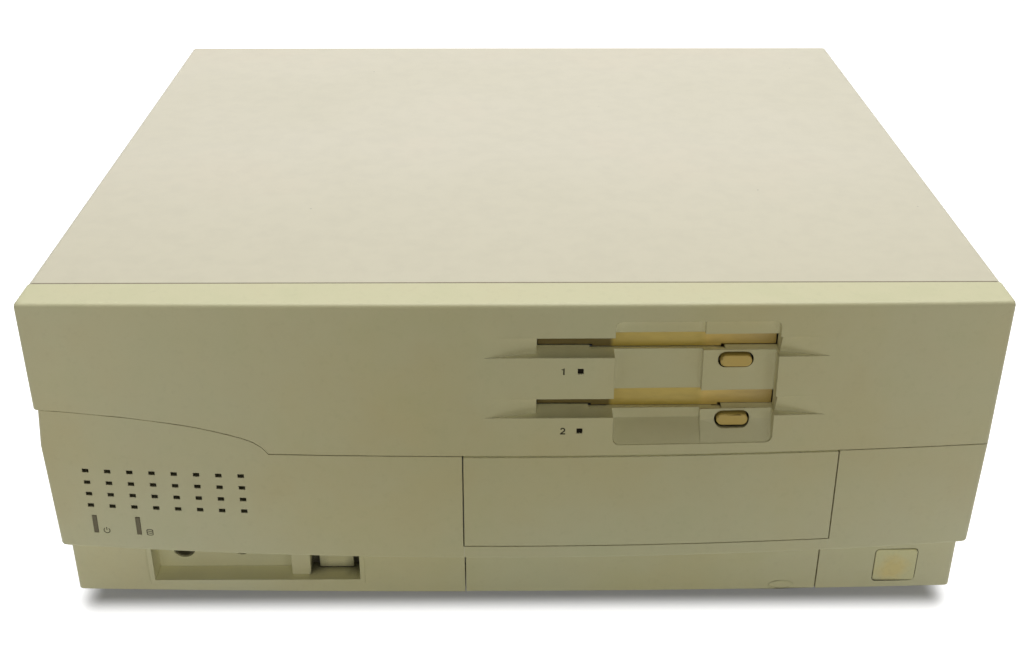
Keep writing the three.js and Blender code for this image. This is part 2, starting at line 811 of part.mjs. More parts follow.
function makeSpeaker() {
  const front = plateY + plateSheet + fitGap;
  const profile = [
    [0, speakerConeDepth], [speakerDome, speakerConeDepth], [speakerRadius - speakerRim, speakerRimSheet],
    [speakerRadius - speakerRim, 0], [speakerRadius, 0], [speakerRadius, speakerRimSheet],
    [speakerRadius - speakerRim, speakerRimSheet * 2], [speakerMagnet, speakerBasket],
    [speakerMagnet, speakerDepth], [0, speakerDepth],
  ].map(([radius, height]) => new THREE.Vector2(radius, height));
  return toSolid(new THREE.LatheGeometry(profile, roundSides).translate(speakerX, front, speakerZ));
}

// Painted steel cover, open below and at the front, with a rim around the back
const screwX = 120;
const screwHead = 3.4;
const screwShank = 1.6;
const screwHeadHeight = 2;
const screwLength = 6;
const screwSlot = 0.6;

const screwZ = coverTopZ - coverSheet - coverRim / 2;

function coverOutline(drawIn, radius, bottom) {
  const half = halfWidth - drawIn;
  const top = coverTopZ - drawIn;
  return [
    [-half, bottom], [half, bottom],
    ...arcPoints(half - radius, top - radius, radius, 0, Math.PI / 2, 4),
    ...arcPoints(radius - half, top - radius, radius, Math.PI / 2, Math.PI, 4),
  ];
}

function makeTopCover() {
  const y0 = bezelDepth + seamGap;
  const outer = prismY(coverOutline(0, coverBendRadius, panBottomZ), y0, caseDepth);
  const inner = prismY(coverOutline(coverSheet, coverBendRadius - coverSheet, panBottomZ - overrun),
    y0 - overrun, rimY);
  const window = block(coverRim + coverSheet - halfWidth, halfWidth - coverSheet - coverRim, rimY - overrun,
    caseDepth + overrun, -overrun, coverTopZ - coverSheet - coverRim);
  const holes = [-screwX, screwX].map((x) =>
    prismY(circle(x, screwZ, screwShank + fitGap, pinSides), rimY - overrun, caseDepth + overrun));
  return cut(outer, [inner, window, ...holes]);
}

function makeCoverScrew(x) {
  const head = prismY(circle(x, screwZ, screwHead, smallSides), caseDepth, caseDepth + screwHeadHeight);
  const shank = prismY(circle(x, screwZ, screwShank, pinSides), caseDepth - screwLength, caseDepth + weld);
  const driver = block(x - screwHead, x + screwHead, caseDepth + screwHeadHeight / 2, caseDepth + overrun,
    screwZ - screwSlot / 2, screwZ + screwSlot / 2);
  return head.add(shank).subtract(driver);
}

// Bottom pan with side flanges, rear lip, board posts, air slots and two tabs for the front board
const postSize = 7;
const footRadius = 12;
const footChamfer = 1;
const footSpread = 40;
const footFront = 46;
const footBack = 40;
const footPlug = 3;
const tabWidth = 8;
const tabHeight = 14;
const cageSide = 1.4;
const boardMargin = 3;
const boardFront = 40;
const headerGap = 4;
const boardTailGap = 16.1;
const airSlotCount = 8;
const airSlotWidth = 4;
const airSlotLength = 34;
const airSlotPitch = 11;

const boardLeft = boardMargin - innerHalf;
const boardRight = bayLeft - cageSide - boardMargin;
const boardTailRight = psuLeft - boardMargin;
const boardY = plateY + boardFront;
const boardRearY = panLipY - fitGap;
const boardTailY = disksRearY + boardTailGap;
const footX = halfWidth - footSpread;

const postPlaces = [boardY + postSize, (boardY + boardRearY) / 2, boardRearY - postSize]
  .flatMap((y) => [[boardLeft + postSize, y], [boardRight - postSize, y]]);
const footPlaces = [
  ['front_left', -footX, footFront], ['front_right', footX, footFront],
  ['rear_left', -footX, caseDepth - footBack], ['rear_right', footX, caseDepth - footBack],
];

function makePan() {
  const y0 = bezelDepth + fitGap;
  const y1 = panLipY + plateSheet;
  const inside = panHalf - plateSheet;
  const top = panTopZ + panFlange;
  const root = panTopZ - weld;
  const profile = [
    [-panHalf, panBottomZ], [panHalf, panBottomZ], [panHalf, top], [inside, top], [inside, panTopZ],
    [-inside, panTopZ], [-inside, top], [-panHalf, top],
  ];
  const rearLip = block(-innerHalf, innerHalf, panLipY, y1, root, panTopZ + panRearLip);
  const parts = [prismY(profile, y0, y1), rearLip];
  const half = postSize / 2;
  postPlaces.forEach(([x, y]) => {
    parts.push(block(x - half, x + half, y - half, y + half, root, boardZ - fitGap));
  });
  const tabY = frontBoardY + boardThickness + fitGap;
  [portX, pocketEndX - tabWidth].forEach((x) => {
    parts.push(block(x, x + tabWidth, tabY, tabY + plateSheet, root, panTopZ + tabHeight));
  });
  const through = (outline) => prismZ(outline, panBottomZ - overrun, panTopZ + overrun);
  const cutters = footPlaces.map(([, x, y]) => through(circle(x, y, footPlug + fitGap, pinSides)));
  const airX = (boardLeft + boardRight) / 2 - (airSlotCount - 1) * airSlotPitch / 2;
  const airY = (postPlaces[0][1] + postPlaces[2][1]) / 2 - airSlotLength / 2;
  for (let i = 0; i < airSlotCount; i += 1) {
    const x = airX + i * airSlotPitch;
    const outline = rectangle(x - airSlotWidth / 2, x + airSlotWidth / 2, airY, airY + airSlotLength);
    cutters.push(through(outline));
  }
  return cut(join(parts), cutters);
}

// Round foot with a plug that holds it in the pan
function makeFoot(x, y) {
  const top = panBottomZ - fitGap;
  const profile = [
    [0, 0], [footRadius - footChamfer, 0], [footRadius, footChamfer], [footRadius, top], [footPlug, top],
    [footPlug, panTopZ], [0, panTopZ],
  ].map(([radius, height]) => new THREE.Vector2(radius, height));
  return toSolid(new THREE.LatheGeometry(profile, turnedSides).rotateX(Math.PI / 2).translate(x, y, 0));
}

// Upright steel plate that the plastic front clips to
const windowMargin = 1.5;

function makeFrontPlate() {
  const y0 = plateY;
  const y1 = y0 + plateSheet;
  const through = (outline) => prismY(outline, y0 - overrun, y1 + overrun);
  const plate = block(-innerHalf, innerHalf, y0, y1, panTopZ + fitGap, coverTopZ - coverSheet - fitGap);
  const drives = rectangle(driveX - driveWidth / 2 - windowMargin, driveX + driveWidth / 2 + windowMargin,
    driveZ[1] - windowMargin, driveZ[0] + driveHeight + windowMargin);
  const bay = rectangle(bayLeft, bayRight, bayCoverZ, bayCoverZ + bayCoverHeight - windowMargin);
  const ports = rectangle(portX - trayWall - fitGap, pocketEndX + trayWall + fitGap,
    panBottomZ, portTopZ + trayWall + fitGap);
  const power = rectangle(powerX, powerX + powerWidth, powerZ + windowMargin,
    powerZ + powerHeight - windowMargin);
  const sound = circle(speakerX, speakerZ, speakerRadius - speakerRim, roundSides);
  return cut(plate, [drives, bay, ports, power, sound].map(through));
}

// Sheet frame that carries the two drives above the bay, and stands on the pan
const cageWall = 1;
const cageBackStep = 2;
const cellClearance = 3;
const towerDrop = 1;

const bayFloorZ = panTopZ + fitGap + hardDiskHeight + cellClearance;
const shelfZ = driveZ[1] - fitGap;

function makeDriveCage() {
  const y1 = driveRearY - cageBackStep;
  const x0 = bayLeft - cageSide;
  const x1 = bayRight + cageSide;
  const z0 = panTopZ + fitGap;
  const towerLeft = driveX - driveWidth / 2 - fitGap;
  const towerRight = driveX + driveWidth / 2 + fitGap;
  const towerTop = driveZ[0] + driveHeight - towerDrop;
  return join([
    block(x0, x0 + cageWall, cageY, y1, z0, shelfZ),
    block(x1 - cageWall, x1, cageY, y1, z0, shelfZ),
    block(x0, x1, cageY, y1, shelfZ - cageWall, shelfZ),
    block(x0, x1, cageY, y1, bayFloorZ - cageWall, bayFloorZ),
    block(towerLeft - cageWall, towerLeft, cageY, y1, shelfZ - cageWall, towerTop),
    block(towerRight, towerRight + cageWall, cageY, y1, shelfZ - cageWall, towerTop),
  ]);
}

// Hard disk in the cell under the bay
const diskLidHeight = 3;
const diskLidMargin = 3;
const diskLidRear = 14;
const diskLidCorner = 8;

function makeHardDisk() {
  const x0 = driveX - hardDiskWidth / 2;
  const x1 = driveX + hardDiskWidth / 2;
  const y0 = disksRearY - hardDiskLength;
  const y1 = disksRearY;
  const z0 = panTopZ + fitGap;
  const top = z0 + hardDiskHeight;
  const body = block(x0, x1, y0, y1, z0, top - diskLidHeight);
  const outline = roundedRectangle(x0 + diskLidMargin, x1 - diskLidMargin, y0 + diskLidMargin,
    y1 - diskLidRear, diskLidCorner);
  return body.add(prismZ(outline, top - diskLidHeight - weld, top));
}

// Floppy drive: cast frame open at the front, with a sill, a motor at the back and a hub well
const frameWall = 1.5;
const frameFloor = 2.5;
const frameLid = 1;
const hubRadius = 12.5;
const hubShoulder = 10;
const hubFlange = 5;
const hubPlateSheet = 1;
const hubPin = 2;
const hubGap = 1;
const hubY = 52;
const carriageLength = 20;
const carriageWidth = 24;
const carriageY = 84;
const carriageThroat = 3;
const leadRadius = 1.6;
const leadX = 20;
const leadLength = 42;
const stepperSize = 14;
const diskThickness = 3.3;
const diskClear = 0.6;

function diskZ(index) {
  return slotZ[index] + (slotHeight - diskThickness) / 2 - diskClear;
}

function makeFloppyFrame(index) {
  const x0 = driveX - driveWidth / 2;
  const x1 = driveX + driveWidth / 2;
  const y0 = frameY[index];
  const y1 = y0 + driveLength;
  const z0 = driveZ[index];
  const z1 = z0 + driveHeight;
  const outer = block(x0, x1, y0, y1, z0, z1);
  const inner = block(x0 + frameWall, x1 - frameWall, y0 - overrun, y1 - frameWall, z0 + frameFloor,
    z1 - frameLid);
  const stepperX = driveX + leadX - stepperSize / 2;
  const stepper = block(stepperX, stepperX + stepperSize, y1 - stepperSize - frameWall, y1 - weld,
    z0 + frameFloor - weld, z0 + frameFloor + stepperSize);
  const sill = block(x0, x1, y0, y0 + frameWall, z0, slotZ[index] - notchDrop - fitGap);
  const front = (x, z, width, height) => block(x - width / 2, x + width / 2, y0 - overrun, y0 + overrun,
    z - height / 2, z + height / 2);
  const ejectHole = front(driveX + ejectX, z0 + ejectRise, ejectWidth, ejectHeight);
  const lampHole = front(driveX + lampX, z0 + lampRise, 2 * lampSize, 2 * lampSize);
  const well = circle(driveX, y0 + hubY, hubRadius + hubGap, roundSides);
  const hubWell = prismZ(well, z0 + frameFloor / 2, z0 + frameFloor + overrun);
  return cut(join([outer.subtract(inner), stepper, sill]), [ejectHole, lampHole, hubWell]);
}

// Eject button, standing a little out of its panel, with the arm behind it
const ejectTravel = 4;
const ejectProud = 1.4;
const ejectArm = 26;

function makeEjectButton(index) {
  const x = driveX + ejectX;
  const z = driveZ[index] + ejectRise;
  const y0 = frontY(x, z) + panelDepth - ejectProud;
  const y1 = frameY[index] - fitGap;
  const outline = stadium(x, z, ejectWidth - 2 * ejectGap, ejectHeight - 2 * ejectGap);
  const cap = prismY(outline, y0, y1);
  const arm = block(x - ejectWidth / 4, x + ejectWidth / 4, y1 - weld, y0 + ejectTravel + ejectArm,
    z - ejectHeight / 4, z + ejectHeight / 4);
  return cap.add(arm);
}

// Flap that closes the disk slot, hanging from its upper edge, with a tab in the notch below
const shutterSide = 0.5;
const shutterDrop = 0.15;
const tabSide = 1.2;

function makeShutter(index) {
  const half = slotWidth / 2 - shutterSide;
  const tab = notchWidth / 2 - tabSide;
  const z0 = slotZ[index] + shutterDrop;
  const z1 = slotZ[index] + slotHeight - shutterSide;
  const outline = [
    [driveX - half, z0], [driveX - tab, z0], [driveX - tab, z0 - notchDrop], [driveX + tab, z0 - notchDrop],
    [driveX + tab, z0], [driveX + half, z0], [driveX + half, z1], [driveX - half, z1],
  ];
  return prismY(outline, driveFaceY[index], driveFaceY[index] + shutterThickness);
}

function makeDriveLamp(index) {
  const x = driveX + lampX;
  const z = driveZ[index] + lampRise;
  const half = lampSize / 2 - fitGap / 2;
  return block(x - half, x + half, frontY(x, z) + fitGap, frameY[index] + 2 * frameWall, z - half, z + half);
}

// Turntable that spins the disk
function makeSpindle(index) {
  const y = frameY[index] + hubY;
  const z0 = driveZ[index] + frameFloor / 2 + fitGap;
  const top = diskZ(index) - fitGap - hubPlateSheet - z0;
  const profile = [
    [0, 0], [hubRadius, 0], [hubRadius, hubFlange], [hubShoulder, top],
    [hubPin, top], [hubPin, top + 2 * hubPlateSheet], [0, top + 2 * hubPlateSheet],
  ].map(([radius, height]) => new THREE.Vector2(radius, height));
  const lathe = new THREE.LatheGeometry(profile, turnedSides).rotateX(Math.PI / 2).translate(driveX, y, z0);
  const pinX = driveX + hubShoulder / 2;
  const drivePin = block(pinX, pinX + hubPin, y - hubPin / 2, y + hubPin / 2, z0 + top - weld,
    z0 + top + 2 * hubPlateSheet);
  return toSolid(lathe).add(drivePin);
}

// Head carriage, with one arm under the disk and one over it
function makeCarriage(index) {
  const y0 = frameY[index] + carriageY;
  const y1 = y0 + carriageLength;
  const x0 = driveX - carriageWidth / 2;
  const x1 = driveX + carriageWidth / 2;
  const z0 = driveZ[index] + frameFloor + fitGap;
  const top = driveZ[index] + driveHeight - frameLid - fitGap;
  const body = block(x0, x1, y0, y1, z0, top);
  const gap = block(x0 - overrun, x1 + overrun, y0 - overrun, y1 - carriageThroat, diskZ(index) - diskClear,
    diskZ(index) + diskThickness + 2 * diskClear);
  return body.subtract(gap);
}

// Lead screw that draws the carriage along
function makeLeadScrew(index) {
  const x = driveX + leadX;
  const y1 = frameY[index] + driveLength - frameWall - stepperSize - fitGap;
  const z = driveZ[index] + frameFloor + stepperSize / 2;
  return prismY(circle(x, z, leadRadius, pinSides), y1 - leadLength, y1);
}

// Main board: its chips and soldered sockets are one piece with it. Shares are of the room
// to the memory, of the room to the backplane, and of the board's depth
const chipSize = 28;
const chipHeight = 3.5;
const chipColumns = 3;
const chipRows = 2;
const chipAcrossShare = 0.319149;
const chipAlongShare = 0.430950;
const chipMargin = 16;
const headerWidth = 32;
const headerLength = 8;
const headerHeight = 9;
const memoryInset = 10;
const memoryShare = 0.795560;
const memoryHeight = 25;
const memorySocketWall = 3;
const memorySocketHeight = 6;
const memorySocketFloor = 2;
const memoryChips = 4;
const memoryChipSize = 15;
const memoryChipHeight = 9;
const memoryChipThickness = 1.4;
const cardShare = 0.572256;
const backplaneInset = 8;

const chipX = boardLeft + chipMargin;
const chipY = boardY + chipMargin;
const headerX = boardTailRight - headerWidth - boardMargin;
const headerY = boardTailY + headerGap;
const backplaneY = panLipY - (panLipY - boardY) * cardShare;
const memoryX = boardRight - memoryInset;
const memoryY = boardY + memoryInset;
const memoryLength = (backplaneY - memoryY) * memoryShare;
const chipPitchX = (memoryX - chipX) * chipAcrossShare;
const chipPitchY = (backplaneY - chipY) * chipAlongShare;

// Socket on the board that a board standing on edge plugs into
function edgeSocket(x0, x1, y0, y1) {
  const wall = memorySocketWall;
  const top = boardTopZ + memorySocketHeight;
  const body = block(x0 - wall, x1 + wall, y0 - wall, y1 + wall, boardTopZ - weld, top);
  const groove = block(x0 - fitGap, x1 + fitGap, y0 - fitGap, y1 + fitGap, boardTopZ + memorySocketFloor,
    top + overrun);
  return body.subtract(groove);
}

function makeMainBoard() {
  const plan = [
    [boardLeft, boardY], [boardRight, boardY], [boardRight, boardTailY], [boardTailRight, boardTailY],
    [boardTailRight, boardRearY], [boardLeft, boardRearY],
  ];
  const parts = [prismZ(plan, boardZ, boardTopZ)];
  for (let i = 0; i < chipColumns * chipRows; i += 1) {
    const x = chipX + (i % chipColumns) * chipPitchX;
    const y = chipY + Math.floor(i / chipColumns) * chipPitchY;
    parts.push(block(x, x + chipSize, y, y + chipSize, boardTopZ - weld, boardTopZ + chipHeight));
  }
  parts.push(block(headerX, headerX + headerWidth, headerY, headerY + headerLength, boardTopZ - weld,
    boardTopZ + headerHeight));
  parts.push(edgeSocket(memoryX, memoryX + boardThickness, memoryY, memoryY + memoryLength));
  parts.push(edgeSocket(backplaneX0, backplaneX1, backplaneY, backplaneY + boardThickness));
  return join(parts);
}

// Finned cooler on the second chip, the processor
const finCount = 6;
const finThickness = 1.6;
const finHeight = 13;
const coolerBase = 3;
const coolerInset = 1;

function makeHeatsink() {
  const x0 = chipX + chipPitchX + coolerInset;
  const y0 = chipY + coolerInset;
  const size = chipSize - 2 * coolerInset;
  const z0 = boardTopZ + chipHeight + fitGap;
  const top = z0 + coolerBase + finHeight;
  const parts = [block(x0, x0 + size, y0, y0 + size, z0, z0 + coolerBase)];
  for (let i = 0; i < finCount; i += 1) {
    const x = x0 + i * (size - finThickness) / (finCount - 1);
    parts.push(block(x, x + finThickness, y0, y0 + size, z0 + coolerBase - weld, top));
  }
  return join(parts);
}

function makeMemory() {
  const z0 = boardTopZ + memorySocketFloor + fitGap;
  const x1 = memoryX + boardThickness;
  const pitch = memoryLength / memoryChips;
  const margin = (pitch - memoryChipSize) / 2;
  const parts = [block(memoryX, x1, memoryY, memoryY + memoryLength, z0, z0 + memoryHeight)];
  for (let i = 0; i < memoryChips; i += 1) {
    const y = memoryY + i * pitch + margin;
    const z = z0 + memoryHeight / 2 - margin;
    parts.push(block(x1 - weld, x1 + memoryChipThickness, y, y + memoryChipSize, z, z + memoryChipHeight));
  }
  return join(parts);
}

// Expansion slots: backplane, card cage and blank covers, stacked above the main board. The
// covers' share is of the room beside the power supply
const slotCount = 4;
const slotPitch = 21;
const slotOpening = 17;
const slotCoverShare = 0.690926;
const slotCoverLap = 2;
const slotSide = 1.6;
const slotPlug = 1;
const slotPlugWall = 2;
const cageSideGap = 4;
const cageRail = 5;
const cageRoof = 6;
const cageFoot = 12;
const cageLift = 25;
const backplaneGap = 4;
const connectorHeight = 8;
const connectorDepth = 10;
const connectorInset = 12;

const rimLeft = coverRim + coverSheet - halfWidth;
const slotLeft = rimLeft + slotSide + slotCoverLap;
const slotRight = slotLeft + (psuLeft - slotLeft) * slotCoverShare;
const cageTopZ = coverTopZ - coverSheet - coverRim - fitGap;
const slotTopZ = cageTopZ - cageRoof;
const backplaneX0 = slotLeft + backplaneInset;
const backplaneX1 = slotRight - backplaneInset;

function slotBaseZ(index) {
  return slotTopZ - slotOpening - (slotCount - 1 - index) * slotPitch;
}

function makeBackplane() {
  const back = backplaneY + boardThickness;
  const foot = boardTopZ + memorySocketFloor + fitGap;
  const parts = [block(backplaneX0, backplaneX1, backplaneY, back, foot, slotTopZ)];
  for (let i = 0; i < slotCount; i += 1) {
    const z = slotBaseZ(i) + slotOpening / 2;
    parts.push(block(backplaneX0 + connectorInset, backplaneX1 - connectorInset, back - weld,
      back + connectorDepth, z - connectorHeight / 2, z + connectorHeight / 2));
  }
  return join(parts);
}

// Side walls and roof with the rails that guide the cards, on a foot that meets the backplane
function makeCardCage() {
  const x0 = slotLeft - cageSideGap;
  const x1 = slotRight + cageSideGap;
  const y0 = backplaneY + boardThickness + connectorDepth + backplaneGap;
  const y1 = panelY - fitGap;
  const z0 = boardTopZ + cageLift;
  const parts = [
    block(x0, x0 + plateSheet, y0, y1, z0, cageTopZ),
    block(x1 - plateSheet, x1, y0, y1, z0, cageTopZ),
    block(x0, x1, backplaneY + boardThickness + fitGap, y1, cageTopZ - plateSheet, cageTopZ),
    block(x0, x1, y0, y0 + cageFoot, z0, z0 + plateSheet),
  ];
  for (let i = 0; i < slotCount; i += 1) {
    const z = slotBaseZ(i) + slotOpening / 2 - boardThickness - plateSheet;
    parts.push(block(x0, x0 + cageRail, y0, y1, z, z + plateSheet));
    parts.push(block(x1 - cageRail, x1, y0, y1, z, z + plateSheet));
  }
  return join(parts);
}

function makeSlotCover(index) {
  const z0 = slotBaseZ(index);
  const y0 = panelY + plateSheet;
  const lap = slotCoverLap;
  const edge = slotPlug;
  const wall = slotPlug + slotPlugWall;
  const z1 = z0 + slotOpening;
  const plate = block(slotLeft - lap, slotRight + lap, y0 + fitGap, y0 + fitGap + plateSheet,
    z0 - lap + fitGap, z1 + lap - fitGap);
  const plug = block(slotLeft + edge, slotRight - edge, panelY, y0 + fitGap + weld, z0 + edge, z1 - edge);
  const pocket = block(slotLeft + wall, slotRight - wall, panelY - overrun, y0, z0 + wall, z1 - wall);
  return plate.add(plug).subtract(pocket);
}

// Power supply: case, lid, board, fan and the two mains connectors
const ventCount = 6;
const ventWidth = 6;
const ventPitch = 18;
const ventMargin = 20;
const ventTopDrop = 14;
const fanLip = 2;
const inletRise = 62;
const outletRise = 28;
const inletHeight = 20;
const inletDepth = 24;
const inletFlangeDepth = 2.5;
const inletWall = 2;
const wellDepth = 16;
const contactWidth = 2;
const contactHeight = 4;
const contactReach = 12;
const contactPitch = 7;
const contactRise = 2;

const fanBore = fanSize / 2 - fanLip;
const fanX = psuLeft + fanSide + fanSize / 2;
const fanZ = panTopZ + fitGap + psuHeight / 2;
const fanY = psuRearY - psuSheet - fitGap - fanThickness;
const inletX = psuRight - inletSide - inletFlange - inletWidth / 2;
const inletZ = panTopZ + inletRise;
const outletZ = panTopZ + outletRise;

function inletOutline(z, grow) {
  return rectangle(inletX - inletWidth / 2 - grow, inletX + inletWidth / 2 + grow,
    z - inletHeight / 2 - grow, z + inletHeight / 2 + grow);
}

function makePsuCase() {
  const z0 = panTopZ + fitGap;
  const z1 = z0 + psuHeight - psuSheet - fitGap;
  const outer = block(psuLeft, psuRight, psuY, psuRearY, z0, z1);
  const inner = block(psuLeft + psuSheet, psuRight - psuSheet, psuY + psuSheet, psuRearY - psuSheet,
    z0 + psuSheet, z1 + overrun);
  const back = (outline) => prismY(outline, psuRearY - psuSheet - fitGap, psuRearY + overrun);
  const cutters = [inner, back(circle(fanX, fanZ, fanBore, wideSides)), back(inletOutline(inletZ, fitGap)),
    back(inletOutline(outletZ, fitGap))];
  for (let i = 0; i < ventCount; i += 1) {
    const x = psuLeft + ventMargin + i * ventPitch;
    cutters.push(block(x, x + ventWidth, psuY - overrun, psuY + overrun, z0 + ventMargin, z1 - ventTopDrop));
  }
  return cut(outer, cutters);
}

const lidFlange = 12;

function makePsuLid() {
  const z1 = panTopZ + fitGap + psuHeight;
  const y0 = psuY + lidFlange;
  const y1 = fanY - lidFlange;
  const step = psuSheet + fitGap;
  return join([
    block(psuLeft, psuRight, psuY, psuRearY, z1 - psuSheet, z1),
    block(psuLeft + step, psuLeft + step + psuSheet, y0, y1, z1 - lidFlange, z1 - psuSheet + weld),
    block(psuRight - step - psuSheet, psuRight - step, y0, y1, z1 - lidFlange, z1 - psuSheet + weld),
  ]);
}

// Power supply board with its transformer, heat spreaders and large capacitor
const psuBoardMargin = 6;
const psuBoardLift = 3;
const psuFootSize = 6;
const transformerX = 30;
const transformerY = 30;
const transformerWidth = 40;
const transformerLength = 35;
const transformerHeight = 38;
const spreaderThickness = 3;
const spreaderInset = 16;
const spreaderHeight = 50;
const capacitorRadius = 12;
const capacitorInset = 28;
const capacitorHeight = 36;

function makePsuBoard() {
  const floor = panTopZ + fitGap + psuSheet + fitGap;
  const z0 = floor + psuBoardLift;
  const z1 = z0 + boardThickness;
  const x0 = psuLeft + psuBoardMargin;
  const x1 = psuRight - psuBoardMargin;
  const y0 = psuY + psuBoardMargin;
  const y1 = fanY - psuBoardMargin;
  const foot = psuFootSize;
  const spreader = (x) => block(x, x + spreaderThickness, y0 + foot, y1 - foot, z1 - weld,
    z1 + spreaderHeight);
  return join([
    block(x0, x1, y0, y1, z0, z1),
    ...[[x0, y0], [x1 - foot, y0], [x0, y1 - foot], [x1 - foot, y1 - foot]].map(([x, y]) =>
      block(x, x + foot, y, y + foot, floor, z0 + weld)),
    block(x0 + transformerX, x0 + transformerX + transformerWidth, y0 + transformerY,
      y0 + transformerY + transformerLength, z1 - weld, z1 + transformerHeight),
    spreader(x0 + spreaderInset),
    spreader(x1 - spreaderInset - spreaderThickness),
    prismZ(circle(x1 - capacitorInset - capacitorRadius, y0 + capacitorInset, capacitorRadius, smallSides),
      z1 - weld, z1 + capacitorHeight),
  ]);
}

// Fan: square frame with three arms that hold the motor, and a bladed rotor
const fanHub = 18;
const fanTipGap = 1.5;
const fanBlades = 7;
const fanBladeThickness = 1.6;
const fanArm = 3;
const fanCorner = 3;
const fanFrontGap = 1;
const bladePitch = Math.PI / 4.5;

function makeFanFrame() {
  const y1 = fanY + fanThickness;
  const half = fanSize / 2;
  const outline = roundedRectangle(fanX - half, fanX + half, fanZ - half, fanZ + half, fanCorner, 2);
  const bore = prismY(circle(fanX, fanZ, fanBore, wideSides), fanY - overrun, y1 + overrun);
  const seat = prismY(circle(fanX, fanZ, fanHub, roundSides), y1 - fanArm, y1);
  const arms = [0, 1, 2].map((i) => {
    const angle = i * 2 * Math.PI / 3 + Math.PI / 2;
    const arm = new THREE.BoxGeometry(fanBore - fanHub + fanArm, fanArm, fanArm)
      .translate((fanBore + fanHub) / 2, 0, 0).rotateY(-angle).translate(fanX, y1 - fanArm / 2, fanZ);
    return toSolid(arm);
  });
  return join([prismY(outline, fanY, y1).subtract(bore), seat, ...arms]);
}

function makeFanRotor() {
  const y0 = fanY + fanFrontGap;
  const y1 = fanY + fanThickness - fanArm - fitGap;
  const tip = fanBore - fanTipGap;
  const hub = prismY(circle(fanX, fanZ, fanHub, roundSides), y0, y1);
  const blades = [];
  for (let i = 0; i < fanBlades; i += 1) {
    const blade = new THREE.BoxGeometry(tip - fanHub + fanArm, fanBladeThickness, fanThickness)
      .rotateX(bladePitch)
      .translate((tip + fanHub) / 2, 0, 0)
      .rotateY(-i * 2 * Math.PI / fanBlades)
      .translate(fanX, (y0 + y1) / 2, fanZ);
    blades.push(toSolid(blade));
  }
  const sweep = prismY(circle(fanX, fanZ, tip, wideSides), y0 + fanFrontGap, y1 - fanFrontGap);
  return hub.add(join(blades).intersect(sweep));
}

// Wire guard over the fan's outlet
const guardRings = 3;
const guardWire = 1.6;
const guardEar = 3;

function makeFanGuard() {
  const y0 = panelY + plateSheet + fitGap;
  const parts = [];
  for (let i = 1; i <= guardRings; i += 1) {
    const radius = (fanBore - guardWire) * i / guardRings;
    const outer = circle(fanX, fanZ, radius + guardWire / 2, roundSides);
    const inner = circle(fanX, fanZ, radius - guardWire / 2, roundSides);
    const ring = prismY(outer, y0 + guardWire / 2, y0 + guardWire * 3 / 2);
    parts.push(ring.subtract(prismY(inner, y0 - overrun, y0 + overrun)));
  }
  [0, 1].forEach((i) => {
    const bar = new THREE.BoxGeometry(2 * (fanBore + guardEar), guardWire, guardWire)
      .rotateY(Math.PI / 4 + i * Math.PI / 2).translate(fanX, y0 + guardWire / 2, fanZ);
    parts.push(toSolid(bar));
  });
  return join(parts);
}

// The three contacts of a mains connector, as boxes grown by a margin
function contactBoxes(z, y0, y1, grow) {
  return [[-contactPitch, 0], [0, contactRise], [contactPitch, 0]].map(([dx, dz]) => {
    const halfWide = contactWidth / 2 + grow;
    const halfHigh = contactHeight / 2 + grow;
    return block(inletX + dx - halfWide, inletX + dx + halfWide, y0, y1, z - contactRise + dz - halfHigh,
      z - contactRise + dz + halfHigh);
  });
}

function connectorBody(z) {
  const face = panelY + plateSheet + fitGap;
  const y1 = face + inletFlangeDepth;
  const body = prismY(inletOutline(z, 0), psuRearY - inletDepth, y1);
  return body.add(prismY(inletOutline(z, inletFlange), face, y1));
}

function makeMainsInlet() {
  const y1 = panelY + plateSheet + fitGap + inletFlangeDepth;
  const well = prismY(inletOutline(inletZ, -inletWall), y1 - wellDepth, y1 + overrun);
  const pins = contactBoxes(inletZ, y1 - wellDepth - weld, y1 - wellDepth + contactReach, 0);
  return join([connectorBody(inletZ).subtract(well), ...pins]);
}

function makeMainsOutlet() {
  const y1 = panelY + plateSheet + fitGap + inletFlangeDepth;
  return cut(connectorBody(outletZ), contactBoxes(outletZ, y1 - wellDepth, y1 + overrun, fitGap));
}

// Back panel with its openings, and the connectors soldered to the main board's back edge. Shares
// are of the room that they leave free beside the power supply
const portRise = 11;
const shellHeight = 8.4;
const shellSlope = 2;
const shellReach = 6;
const portFlangeSheet = 2;
const portBodyDepth = 14;
const portBodyLap = 1;
const portTopMargin = 2.5;
const portInsetShare = 0.08;
const portSpacingShare = 0.173;
const portEar = 7;
const serialWidth = 39;
const printerWidth = 36;
const displayWidth = 25;

function portPlaces() {
  const sizes = [
    ['serial_port', serialWidth], ['printer_port', printerWidth], ['display_port', displayWidth],
  ];
  const free = sizes.reduce((rest, [, width]) => rest - width - 2 * portEar, psuLeft - slotLeft);
  let edge = slotLeft + free * portInsetShare;
  return sizes.map(([name, width]) => {
    const x = edge + portEar + width / 2;
    edge += width + 2 * portEar + free * portSpacingShare;
    return { name, width, x };
  });
}

function shellOutline(x, width, grow) {
  const z = boardTopZ + portRise;
  const half = width / 2 + grow;
  const rise = shellHeight / 2 + grow;
  const foot = half - shellSlope;
  return [[x - foot, z - rise], [x + foot, z - rise], [x + half, z + rise], [x - half, z + rise]];
}

